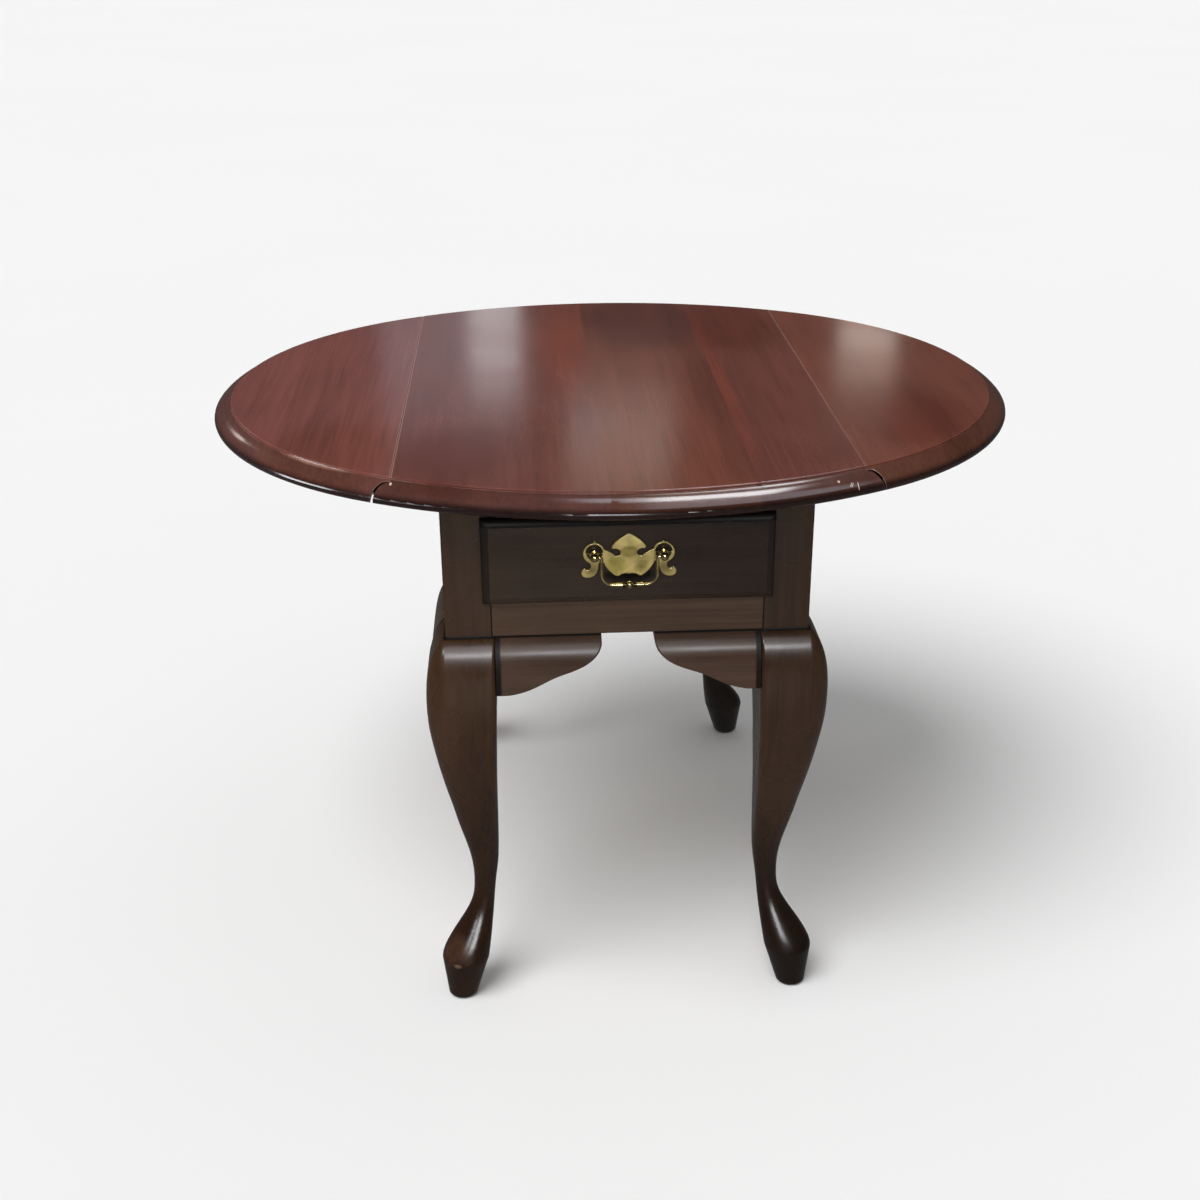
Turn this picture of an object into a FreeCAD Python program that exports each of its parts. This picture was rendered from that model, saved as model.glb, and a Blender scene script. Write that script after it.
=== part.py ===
import FreeCAD, Part
import math
import os

# Oval drop-leaf table with one drawer: millimetres, +Z up, the drawer faces -Y, floor at zero.

# Overall sizes
TABLE_HEIGHT = 575.0
TOP_LENGTH = 818.0
TOP_DEPTH = 712.0
TOP_THICKNESS = 22.0
END_FULLNESS = 0.3952

# Edge moulding of the top
MOULD_WIDTH = 17.4
MOULD_STEP = 2.6
SLOPE_DROP = 11.5
SLOPE_BULGE = 1.4
NOSE_DROP = 16.0
NOSE_ROUND = 1.8
NOSE_UNDERCUT = 5.0
FIELD_EASE = 0.8

# Centre panel and rule joints
SEAM_SPACING = 421.0
LEFT_GLUE_LINE = -20.0
RIGHT_GLUE_LINE = 110.0
JOINT_FILLET = 4.0
HINGE_PIN_RISE = 2.0
JOINT_GAP = 0.4
COVE_MIDDLE_GAP = 1.9
LEFT_COVE_GAP = 2.8
RIGHT_COVE_GAP = 0.9

# Drop-leaf hinges
HINGE_INSET = 7.69
HINGE_WIDTH = 36.0
SHORT_FLAP = 32.0
LONG_FLAP = 48.0
FLAP_THICKNESS = 2.0
KNUCKLE_RADIUS = 3.2
HINGE_PIN_RADIUS = 1.6
KNUCKLE_SHARE = 10.0
KNUCKLE_END_GAP = 0.3
GAIN_GAP = 0.4
FLAP_SCREW_SIDE = 10.0
SHORT_SCREWS = (12.0, 24.0)
LONG_SCREWS = (24.0, 39.0)

# Screws
SCREW_HEAD_RADIUS = 3.4
SCREW_SHANK_RADIUS = 1.7
SCREW_SINK = 1.8
FLAP_SCREW_LENGTH = 14.0
SLOT_WIDTH = 0.8
SLOT_DEPTH = 0.8

# Case
CASE_WIDTH = 342.0
CASE_DEPTH = 540.0
CASE_HEIGHT = 145.0
POST_SIDE = 43.0
POST_ROUND = 1.5
RAIL_THICKNESS = 22.0
RAIL_SETBACK = 0.8
BOTTOM_RAIL_HEIGHT = 36.5
TOP_RAIL_HEIGHT = 33.0
BACK_THICKNESS = 20.0
TENON_WALL = 23.0
TENON_THICKNESS = 8.0
TENON_SHOULDER = 6.0

# Fly rail and fly bracket
FLY_LAYER = 19.0
SIDE_SETBACK = 1.5
FLY_HEIGHT = 75.0
FLY_PIVOT_Y = -30.0
FLY_LENGTH = 185.0
FLY_TIP_HEIGHT = 32.0
FLY_GAP = 0.5
FLY_FINGERS = 5
FLY_PIN_RADIUS = 3.0
FLY_FINGER_GAP = 0.4
FLY_NOTCH_GAP = 1.5
PIN_FIT = 0.05

# Legs
KNEE_OVERHANG = 21.0
KNEE_INNER = 3.0
ANKLE_SETBACK = 15.2
ANKLE_INNER = 37.0
FOOT_RADIUS = 24.0
FOOT_SHIFT = 4.0
FOOT_RIM_HEIGHT = 44.0
SOLE_RADIUS = 15.0
SOLE_EDGE = 2.5
SOLE_EDGE_HEIGHT = 3.0

# Knee brackets
BRACKET_SPACE = 50.0
BRACKET_DROP = 54.0
BRACKET_BULGE = 18.5
BRACKET_FLAT = 12.0
BRACKET_ROUND = 1.5

# Drawer
DRAWER_GAP = 1.2
DRAWER_FLOAT = 0.4
DRAWER_PROUD = 9.0
DRAWER_PLUG = 14.0
LIP_WIDTH = 7.0
LIP_LOW = 1.5
LIP_GAP = 0.4
LIP_STEP = 1.2
LIP_FALL = 5.6
DRAWER_BACK_GAP = 37.2
DRAWER_SIDE_THICKNESS = 10.0
DRAWER_SIDE_GAP = 7.1
DRAWER_LAP = 8.0
DRAWER_BACK_THICKNESS = 10.0
DRAWER_BOTTOM_THICKNESS = 5.0
DRAWER_BOTTOM_RISE = 6.0
GROOVE_DEPTH = 5.0
DRAWER_SCREW_X = 60.0
DRAWER_SCREW_LENGTH = 16.0

# Runners, guides and kickers
RUNNER_WIDTH = 24.0
RUNNER_HEIGHT = 18.0
GUIDE_RISE = 20.0
GUIDE_THICKNESS = 4.5
TOP_SCREW_INSET = 37.0
TOP_SCREW_BITE = 12.0

# Pull
PULL_SPACING = 63.5
PULL_DROP = 26.7
PLATE_SPACING = 63.5
PLATE_THICKNESS = 1.8
PIERCING_RADIUS = 7.6
PIVOT_OUT = 11.0
POST_BASE_RADIUS = 4.0
POST_BASE_THICKNESS = 1.5
POST_STEM_RADIUS = 2.8
POST_HEAD_RADIUS = 4.2
BOLT_RADIUS = 1.9
BOLT_TAIL = 5.0
NUT_SIDE = 4.0
NUT_THICKNESS = 3.0
BAIL_RADIUS = 1.5
BAIL_INSET = 6.25
BAIL_DROP = 27.3
BAIL_CORNER = 11.0
BAIL_ELBOW = 2.2
BAIL_BAR_RADIUS = 1.9
BAIL_BAR_HALF = 13.0
BAIL_PIVOT_REACH = 7.0
BEAD_RADIUS = 3.6
COLLAR_RADIUS = 2.6
COLLAR_OFFSET = 4.6
COLLAR_LENGTH = 1.6

# Levels and planes that follow from the sizes above
UNDERSIDE = TABLE_HEIGHT - TOP_THICKNESS
PIN_Z = UNDERSIDE + HINGE_PIN_RISE
OVOLO = TOP_THICKNESS - JOINT_FILLET - HINGE_PIN_RISE
SEAM = SEAM_SPACING / 2
END_RADIUS = TOP_DEPTH / 2 * (TOP_DEPTH / TOP_LENGTH) ** END_FULLNESS
CASE_X = CASE_WIDTH / 2
CASE_Y = CASE_DEPTH / 2
INNER_X = CASE_X - POST_SIDE
INNER_Y = CASE_Y - POST_SIDE
TENON_LENGTH = POST_SIDE - TENON_WALL
KNEE_Z = UNDERSIDE - CASE_HEIGHT
RUNNER_Z = KNEE_Z + BOTTOM_RAIL_HEIGHT
OPENING_Z = UNDERSIDE - TOP_RAIL_HEIGHT
FLY_OUT = CASE_X - SIDE_SETBACK
FLY_IN = FLY_OUT - FLY_LAYER
APRON_IN = INNER_X + GUIDE_THICKNESS
FLY_Z = UNDERSIDE - FLY_HEIGHT
FLY_RADIUS = (FLY_LAYER - FLY_GAP) / 2
FLY_AXIS_X = FLY_OUT - FLY_RADIUS
BACK_IN = CASE_Y - RAIL_SETBACK - BACK_THICKNESS
RAIL_BACK = -CASE_Y + RAIL_SETBACK + RAIL_THICKNESS
DRAWER_FACE = -CASE_Y - DRAWER_PROUD
DRAWER_BACK_FACE = -CASE_Y + DRAWER_PLUG
DRAWER_X = INNER_X - DRAWER_GAP
DRAWER_Z = RUNNER_Z + DRAWER_FLOAT
PULL_Z = OPENING_Z - PULL_DROP
PULL_X = PULL_SPACING / 2
PIVOT_Y = DRAWER_FACE - PIVOT_OUT
ALL = 2000.0

V = FreeCAD.Vector
ORIGIN = V(0, 0, 0)
UP = V(0, 0, 1)
ALONG_X = V(1, 0, 0)
ALONG_Y = V(0, 1, 0)
PARTS = {}


def box(x0, x1, y0, y1, z0, z1):
    """Block between two corners."""
    return Part.makeBox(x1 - x0, y1 - y0, z1 - z0, V(x0, y0, z0))


def flip_x(shape):
    """Mirror image across the plane between left and right."""
    return shape.mirror(ORIGIN, ALONG_X)


def flip_y(shape):
    """Mirror image across the plane between front and back."""
    return shape.mirror(ORIGIN, ALONG_Y)


def arc(start, middle, end):
    """Arc edge through three points."""
    return Part.Arc(start, middle, end).toShape()


def line(start, end):
    """Straight edge."""
    return Part.LineSegment(start, end).toShape()


def smooth(points):
    """One curve through all the points."""
    curve = Part.BSplineCurve()
    curve.interpolate(points)
    return curve.toShape()


def face_of(edges):
    """Flat face inside a closed chain of edges."""
    return Part.Face(Part.Wire(edges))


def polygon(points):
    """Flat face inside straight edges."""
    return Part.Face(Part.makePolygon(points + points[:1]))


def fuse(shapes):
    """One solid from overlapping or touching shapes."""
    return shapes[0].multiFuse(shapes[1:]).removeSplitter()


def keep(name, *solids):
    """Store one named piece, or one group of like pieces."""
    PARTS[name] = [solid for shape in solids for solid in shape.Solids]


def oval_arcs():
    """The four arcs of the oval: centre, radius, first and last angle."""
    a = TOP_LENGTH / 2
    b = TOP_DEPTH / 2
    reach = a - END_RADIUS
    side = (reach ** 2 + b ** 2 - END_RADIUS ** 2) / (2 * (b - END_RADIUS))
    turn = math.degrees(math.atan2(abs(side - b), abs(reach)))
    return [(V(reach, 0, 0), END_RADIUS, -turn, turn),
            (V(0, b - side, 0), side, turn, 180 - turn),
            (V(-reach, 0, 0), END_RADIUS, 180 - turn, 180 + turn),
            (V(0, side - b, 0), side, 180 + turn, 360 - turn)]


def half_depth(x):
    """Distance from the long axis to the oval's edge at one station along it."""
    end, side = oval_arcs()[:2]
    centre, radius, _, turn = end
    if x > centre.x + radius * math.cos(math.radians(turn)):
        return math.sqrt(radius ** 2 - (x - centre.x) ** 2)
    centre, radius, _, _ = side
    return centre.y + math.sqrt(radius ** 2 - x ** 2)


def moulding_waste(radius):
    """Section of what the moulding takes off an edge of this radius, in the plane y = 0."""
    field = radius - MOULD_WIDTH
    brink = V(field - FIELD_EASE, 0, TABLE_HEIGHT)
    step = V(field, 0, TABLE_HEIGHT - FIELD_EASE)
    shoulder = V(field, 0, TABLE_HEIGHT - MOULD_STEP)
    nose_top = V(radius - NOSE_ROUND, 0, TABLE_HEIGHT - SLOPE_DROP)
    nose = V(radius, 0, TABLE_HEIGHT - NOSE_DROP)
    under = V(radius - NOSE_UNDERCUT, 0, UNDERSIDE)
    run = nose_top - shoulder
    swell = V(-run.z, 0, run.x).normalize() * SLOPE_BULGE
    middle = shoulder + run * 0.5 + swell
    high = V(brink.x, 0, TABLE_HEIGHT + MOULD_STEP)
    high_out = V(radius + MOULD_WIDTH, 0, TABLE_HEIGHT + MOULD_STEP)
    low_out = V(radius + MOULD_WIDTH, 0, UNDERSIDE - MOULD_STEP)
    low = V(radius - NOSE_UNDERCUT, 0, UNDERSIDE - MOULD_STEP)
    return face_of([line(high, brink), line(brink, step), line(step, shoulder),
                    arc(shoulder, middle, nose_top), arc(nose_top, nose, under), line(under, low),
                    line(low, low_out), line(low_out, high_out), line(high_out, high)])


def moulded_top():
    """The whole oval with its moulded edge, before the leaves are parted from it."""
    edges = []
    for centre, radius, first, last in oval_arcs():
        edges.append(Part.makeCircle(radius, centre + V(0, 0, UNDERSIDE), UP, first, last))
    slab = face_of(edges).extrude(V(0, 0, TOP_THICKNESS))
    for centre, radius, first, last in oval_arcs():
        waste = moulding_waste(radius).revolve(ORIGIN, UP, last - first)
        waste.rotate(ORIGIN, UP, first)
        waste.translate(centre)
        slab = slab.cut(waste)
    return slab


def joint_arc(start_x, top_gap, middle_gap, end_gap):
    """Quarter round outside the ovolo at the right seam, from above the hinge pin to the underside."""
    rise = math.sqrt((OVOLO + top_gap) ** 2 - start_x ** 2)
    reach = math.sqrt((OVOLO + end_gap) ** 2 - HINGE_PIN_RISE ** 2)
    half = (OVOLO + middle_gap) * math.sqrt(0.5)
    start = V(SEAM + start_x, -ALL / 2, PIN_Z + rise)
    middle = V(SEAM + half, -ALL / 2, PIN_Z + half)
    end = V(SEAM + reach, -ALL / 2, UNDERSIDE)
    return arc(start, middle, end), start, end


def centre_zone():
    """Everything between the two ovolos of the fixed top."""
    right, start, end = joint_arc(0.0, 0.0, 0.0, 0.0)
    top = V(start.x, start.y, TABLE_HEIGHT)
    middle_top = V(0, start.y, TABLE_HEIGHT)
    middle_low = V(0, start.y, UNDERSIDE)
    half = face_of([line(middle_top, top), line(top, start), right, line(end, middle_low),
                    line(middle_low, middle_top)]).extrude(V(0, ALL, 0))
    return fuse([half, flip_x(half)])


def leaf_zone(end_gap):
    """Everything outside the cove of a right leaf, which is tight at its lip and freer below."""
    cove, start, end = joint_arc(JOINT_GAP, JOINT_GAP, COVE_MIDDLE_GAP, end_gap)
    top = V(start.x, start.y, TABLE_HEIGHT)
    top_out = V(TOP_LENGTH, start.y, TABLE_HEIGHT)
    low_out = V(TOP_LENGTH, start.y, UNDERSIDE)
    return face_of([line(top_out, top), line(top, start), cove, line(end, low_out),
                    line(low_out, top_out)]).extrude(V(0, ALL, 0))


def knuckle(y0, y1, radius):
    """Round about the right hinge pin between two stations."""
    return Part.makeCylinder(radius, y1 - y0, V(SEAM, y0, PIN_Z), ALONG_Y)


def screw_blank(length):
    """Countersunk screw pointing up, its head level with zero, without its slot."""
    head = Part.makeCone(SCREW_HEAD_RADIUS, SCREW_SHANK_RADIUS, SCREW_SINK)
    shank = Part.makeCylinder(SCREW_SHANK_RADIUS, length, ORIGIN, UP)
    return head.fuse(shank).removeSplitter()


def screw_at(spot, length):
    """The hole for a screw, and the screw with its slot, at one spot."""
    blank = screw_blank(length)
    half = SCREW_HEAD_RADIUS * 2
    slot = box(-half, half, -SLOT_WIDTH / 2, SLOT_WIDTH / 2, -SLOT_DEPTH, SLOT_DEPTH)
    screw = blank.cut(slot)
    blank.translate(spot)
    screw.translate(spot)
    return blank, screw


def hinge_spots(reaches, side, y):
    """Places of the screws of one flap, two to a row."""
    return [V(SEAM + side * reach, y + step, UNDERSIDE)
            for reach in reaches for step in (-FLAP_SCREW_SIDE, FLAP_SCREW_SIDE)]


def hinge(y):
    """One right-hand drop-leaf hinge: both flaps, pin, screws, and what it takes out of the wood."""
    front = y - HINGE_WIDTH / 2
    back = y + HINGE_WIDTH / 2
    first = front + KNUCKLE_SHARE
    last = back - KNUCKLE_SHARE
    flap_top = UNDERSIDE + FLAP_THICKNESS
    clear = KNUCKLE_RADIUS + GAIN_GAP
    middle_room = knuckle(first - KNUCKLE_END_GAP, last + KNUCKLE_END_GAP, clear)
    end_rooms = [knuckle(front - GAIN_GAP, first + KNUCKLE_END_GAP, clear),
                 knuckle(last - KNUCKLE_END_GAP, back + GAIN_GAP, clear)]
    bore = knuckle(front, back, HINGE_PIN_RADIUS + PIN_FIT)
    pin = knuckle(front, back, HINGE_PIN_RADIUS)
    short_plate = box(SEAM - SHORT_FLAP, SEAM, front, back, UNDERSIDE, flap_top)
    short = fuse([short_plate, knuckle(front, first, KNUCKLE_RADIUS), knuckle(last, back, KNUCKLE_RADIUS)])
    short = short.cut(middle_room).cut(bore)
    long_plate = box(SEAM, SEAM + LONG_FLAP, front, back, UNDERSIDE, flap_top)
    for room in end_rooms:
        long_plate = long_plate.cut(room)
    barrel = knuckle(first + KNUCKLE_END_GAP, last - KNUCKLE_END_GAP, KNUCKLE_RADIUS)
    long = fuse([long_plate, barrel]).cut(bore)
    short_screws = [screw_at(spot, FLAP_SCREW_LENGTH) for spot in hinge_spots(SHORT_SCREWS, -1, y)]
    long_screws = [screw_at(spot, FLAP_SCREW_LENGTH) for spot in hinge_spots(LONG_SCREWS, 1, y)]
    for hole, _ in short_screws:
        short = short.cut(hole)
    for hole, _ in long_screws:
        long = long.cut(hole)
    groove = box(SEAM - clear, SEAM + clear, front - GAIN_GAP, back + GAIN_GAP, UNDERSIDE, PIN_Z + clear)
    under = box(SEAM, SEAM + LONG_FLAP, front - GAIN_GAP, back + GAIN_GAP, UNDERSIDE, flap_top + GAIN_GAP)
    top_waste = [short_plate, groove, under] + [hole for hole, _ in short_screws]
    leaf_waste = [box(SEAM, SEAM + LONG_FLAP, front, back, UNDERSIDE, flap_top)]
    leaf_waste += [hole for hole, _ in long_screws]
    return {"short": short, "long": long, "pin": pin, "top_waste": top_waste, "leaf_waste": leaf_waste,
            "short_screws": [screw for _, screw in short_screws],
            "long_screws": [screw for _, screw in long_screws]}


def top_screws():
    """Screws up through both kickers into the centre panel: holes and screws."""
    x = INNER_X - RUNNER_WIDTH / 2
    y_end = INNER_Y - TOP_SCREW_INSET
    length = TOP_RAIL_HEIGHT + TOP_SCREW_BITE
    pairs = [screw_at(V(side * x, y, OPENING_Z), length) for side in (-1, 1) for y in (-y_end, 0, y_end)]
    return [hole for hole, _ in pairs], [screw for _, screw in pairs]


def build_top():
    """Boards, leaves, hinges and the screws that hold them."""
    whole = moulded_top()
    centre = whole.common(centre_zone())
    right = whole.common(leaf_zone(RIGHT_COVE_GAP))
    left = whole.common(leaf_zone(LEFT_COVE_GAP))
    hinge_y = half_depth(SEAM + LONG_FLAP) - HINGE_INSET - HINGE_WIDTH / 2
    hinges = [hinge(-hinge_y), hinge(hinge_y)]
    holes, screws = top_screws()
    for waste in holes:
        centre = centre.cut(waste)
    for piece in hinges:
        for waste in piece["top_waste"]:
            centre = centre.cut(waste).cut(flip_x(waste))
        for waste in piece["leaf_waste"]:
            right = right.cut(waste)
            left = left.cut(waste)
    edges = [-TOP_LENGTH, LEFT_GLUE_LINE, RIGHT_GLUE_LINE, TOP_LENGTH]
    for index, name in enumerate(("left", "middle", "right")):
        zone = box(edges[index], edges[index + 1], -TOP_DEPTH, TOP_DEPTH, 0, TABLE_HEIGHT * 2)
        keep("top_board_" + name, centre.common(zone))
    keep("leaf_right", right)
    keep("leaf_left", flip_x(left))
    shorts = [piece["short"] for piece in hinges]
    pins = [piece["pin"] for piece in hinges]
    longs = [piece["long"] for piece in hinges]
    short_screws = [screw for piece in hinges for screw in piece["short_screws"]]
    long_screws = [screw for piece in hinges for screw in piece["long_screws"]]
    keep("hinge_top_flaps", *shorts, *[flip_x(shape) for shape in shorts])
    keep("hinge_pins", *pins, *[flip_x(shape) for shape in pins])
    keep("hinge_screws_top", *short_screws, *[flip_x(shape) for shape in short_screws])
    keep("hinge_leaf_flaps_right", *longs)
    keep("hinge_leaf_flaps_left", *[flip_x(shape) for shape in longs])
    keep("hinge_screws_right", *long_screws)
    keep("hinge_screws_left", *[flip_x(shape) for shape in long_screws])
    keep("top_screws", *screws)


def leg_section(z, out, inner, outer_round, side_round):
    """Rounded square of the leg at the back right corner, from its outer to its inner faces."""
    low_x = CASE_X - inner
    low_y = CASE_Y - inner
    high_x = CASE_X + out
    high_y = CASE_Y + out
    half = (out + inner) / 2
    ro = half * outer_round
    rs = half * side_round
    cut = 1 - math.sqrt(0.5)
    edges = [
        line(V(low_x + rs, low_y, z), V(high_x - rs, low_y, z)),
        arc(V(high_x - rs, low_y, z), V(high_x - rs * cut, low_y + rs * cut, z), V(high_x, low_y + rs, z)),
        line(V(high_x, low_y + rs, z), V(high_x, high_y - ro, z)),
        arc(V(high_x, high_y - ro, z), V(high_x - ro * cut, high_y - ro * cut, z), V(high_x - ro, high_y, z)),
        line(V(high_x - ro, high_y, z), V(low_x + rs, high_y, z)),
        arc(V(low_x + rs, high_y, z), V(low_x + rs * cut, high_y - rs * cut, z), V(low_x, high_y - rs, z)),
        line(V(low_x, high_y - rs, z), V(low_x, low_y + rs, z)),
        arc(V(low_x, low_y + rs, z), V(low_x + rs * cut, low_y + rs * cut, z), V(low_x + rs, low_y, z))]
    return Part.Wire(edges)


def leg_curve():
    """Sections from the knee down to the rim of the foot."""
    k = KNEE_OVERHANG
    s = ANKLE_SETBACK
    post = POST_SIDE
    knee = POST_SIDE + KNEE_INNER
    ankle = ANKLE_INNER
    slim = post - ankle
    foot_in = FOOT_RADIUS - FOOT_SHIFT
    rim = FOOT_RADIUS + FOOT_SHIFT
    heel = ankle - rim
    # share of the way down to the rim, outward reach, inner face, roundness of the outer and other corners
    stations = [
        (0.000, 0.0, knee, 0.08, 0.08),
        (0.018, k * 0.36, knee, 0.25, 0.10),
        (0.045, k * 0.62, knee, 0.40, 0.12),
        (0.085, k * 0.84, knee, 0.50, 0.14),
        (0.140, k * 0.97, knee, 0.56, 0.16),
        (0.196, k, knee - KNEE_INNER * 0.1, 0.60, 0.18),
        (0.258, k * 0.95, knee - KNEE_INNER * 0.4, 0.64, 0.21),
        (0.319, k * 0.81, knee - KNEE_INNER * 0.7, 0.68, 0.25),
        (0.387, k * 0.61, knee - KNEE_INNER * 0.9, 0.72, 0.30),
        (0.453, k * 0.38, post - slim * 0.07, 0.76, 0.37),
        (0.522, k * 0.11, post - slim * 0.13, 0.80, 0.46),
        (0.593, -s * 0.22, post - slim * 0.17, 0.84, 0.57),
        (0.661, -s * 0.62, post - slim * 0.23, 0.88, 0.69),
        (0.728, -s * 0.92, post - slim * 0.45, 0.92, 0.81),
        (0.797, -s, ankle, 0.95, 0.91),
        (0.852, -s * 0.78, ankle - heel * 0.22, 0.96, 0.95),
        (0.898, -s * 0.16, ankle - heel * 0.42, 0.96, 0.96),
        (0.945, foot_in * 0.50, ankle - heel * 0.66, 0.96, 0.96),
        (0.975, foot_in * 0.84, ankle - heel * 0.84, 0.96, 0.96),
        (1.000, foot_in, rim, 0.96, 0.96)]
    drop = KNEE_Z - FOOT_RIM_HEIGHT
    return [leg_section(KNEE_Z - drop * share, *rest) for share, *rest in stations]


def foot_sections():
    """Sections from the rim of the pad foot down to its sole."""
    rim = (FOOT_RADIUS - FOOT_SHIFT, FOOT_RADIUS + FOOT_SHIFT)
    return [leg_section(FOOT_RIM_HEIGHT, rim[0], rim[1], 0.96, 0.96),
            leg_section(SOLE_EDGE_HEIGHT, SOLE_RADIUS, SOLE_RADIUS, 0.96, 0.96),
            leg_section(0.0, SOLE_RADIUS - SOLE_EDGE, SOLE_RADIUS - SOLE_EDGE, 0.96, 0.96)]


def back_right_leg():
    """Post, cabriole curve and pad foot in one piece of wood."""
    post = box(INNER_X, CASE_X, INNER_Y, CASE_Y, KNEE_Z, UNDERSIDE)
    corner = [edge for edge in post.Edges if edge.BoundBox.XMin == edge.BoundBox.XMax == CASE_X
              and edge.BoundBox.YMin == edge.BoundBox.YMax == CASE_Y]
    post = post.makeFillet(POST_ROUND, corner)
    curve = Part.makeLoft(leg_curve(), True, False)
    foot = Part.makeLoft(foot_sections(), True, True)
    return fuse([post, curve, foot])


def bracket_section(x):
    """Swelling section of a knee bracket at one station along the back rail."""
    back = CASE_Y - RAIL_SETBACK - RAIL_THICKNESS
    low = KNEE_Z - BRACKET_DROP
    top = V(x, CASE_Y, KNEE_Z)
    shoulder = V(x, CASE_Y + BRACKET_BULGE * 0.50, KNEE_Z - BRACKET_DROP * 0.19)
    swell = V(x, CASE_Y + BRACKET_BULGE * 0.86, KNEE_Z - BRACKET_DROP * 0.54)
    end = V(x, CASE_Y + BRACKET_BULGE, low)
    below = end - V(0, 0, BRACKET_FLAT)
    back_low = V(x, back, below.z)
    back_top = V(x, back, KNEE_Z)
    return face_of([smooth([top, shoulder, swell, end]), line(end, below), line(below, back_low),
                    line(back_low, back_top), line(back_top, top)])


def back_bracket():
    """Knee bracket beside the back right leg, under the back apron."""
    root = INNER_X - KNEE_INNER
    tip = BRACKET_SPACE / 2
    body = bracket_section(tip).extrude(V(root - tip, 0, 0))
    low = KNEE_Z - BRACKET_DROP
    reach = root - tip - BRACKET_FLAT
    shares = [(0.022, 0.25), (0.14, 0.45), (0.27, 0.56), (0.51, 0.70), (0.75, 0.89), (0.90, 0.97),
              (1.0, 1.0)]
    points = [V(tip, 0, KNEE_Z)]
    points += [V(tip + reach * along, 0, KNEE_Z - BRACKET_DROP * down) for along, down in shares]
    leg_low = V(root, 0, low)
    leg_top = V(root, 0, KNEE_Z)
    outline = face_of([smooth(points), line(points[-1], leg_low), line(leg_low, leg_top),
                       line(leg_top, points[0])])
    bracket = body.common(outline.extrude(V(0, ALL, 0)))
    arris = [edge for edge in bracket.Edges if edge.BoundBox.YMin > CASE_Y
             and edge.BoundBox.XLength > BRACKET_ROUND and edge.BoundBox.ZMax < KNEE_Z]
    return bracket.makeFillet(BRACKET_ROUND, arris)


def build_legs():
    """Four legs with their mortises, and two knee brackets at each."""
    leg = back_right_leg()
    bracket = back_bracket()
    side_bracket = bracket.mirror(V(CASE_X, CASE_Y, 0), V(1, -1, 0))
    tenons = {"back": back_tenon(), "side": side_tenon()}
    front_leg = leg.cut(tenons["side"])
    for tenon in front_tenons():
        front_leg = front_leg.cut(flip_y(tenon))
    back_leg = leg.cut(tenons["side"]).cut(tenons["back"])
    front_leg = flip_y(front_leg)
    for name, piece in (("front", front_leg), ("back", back_leg)):
        keep("leg_%s_right" % name, piece)
        keep("leg_%s_left" % name, flip_x(piece))
    keep("knee_bracket_back_right", bracket)
    keep("knee_bracket_back_left", flip_x(bracket))
    keep("knee_bracket_front_right", flip_y(bracket))
    keep("knee_bracket_front_left", flip_y(flip_x(bracket)))
    keep("knee_bracket_side_back_right", side_bracket)
    keep("knee_bracket_side_back_left", flip_x(side_bracket))
    keep("knee_bracket_side_front_right", flip_y(side_bracket))
    keep("knee_bracket_side_front_left", flip_y(flip_x(side_bracket)))


def side_tenon():
    """Tenon of the right apron into the back right post."""
    middle = (APRON_IN + FLY_IN) / 2
    half = TENON_THICKNESS / 2
    return box(middle - half, middle + half, INNER_Y, INNER_Y + TENON_LENGTH,
               KNEE_Z + TENON_SHOULDER, UNDERSIDE - TENON_SHOULDER)


def back_tenon():
    """Tenon of the back apron into the back right post."""
    middle = BACK_IN + BACK_THICKNESS / 2
    half = TENON_THICKNESS / 2
    return box(INNER_X, INNER_X + TENON_LENGTH, middle - half, middle + half,
               KNEE_Z + TENON_SHOULDER, UNDERSIDE - TENON_SHOULDER)


def front_tenons():
    """Tenons of the bottom and top rails into the front right post."""
    middle = RAIL_BACK - RAIL_THICKNESS / 2
    half = TENON_THICKNESS / 2
    levels = ((KNEE_Z, RUNNER_Z), (OPENING_Z, UNDERSIDE))
    return [box(INNER_X, INNER_X + TENON_LENGTH, middle - half, middle + half,
                low + TENON_SHOULDER, high - TENON_SHOULDER) for low, high in levels]


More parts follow.
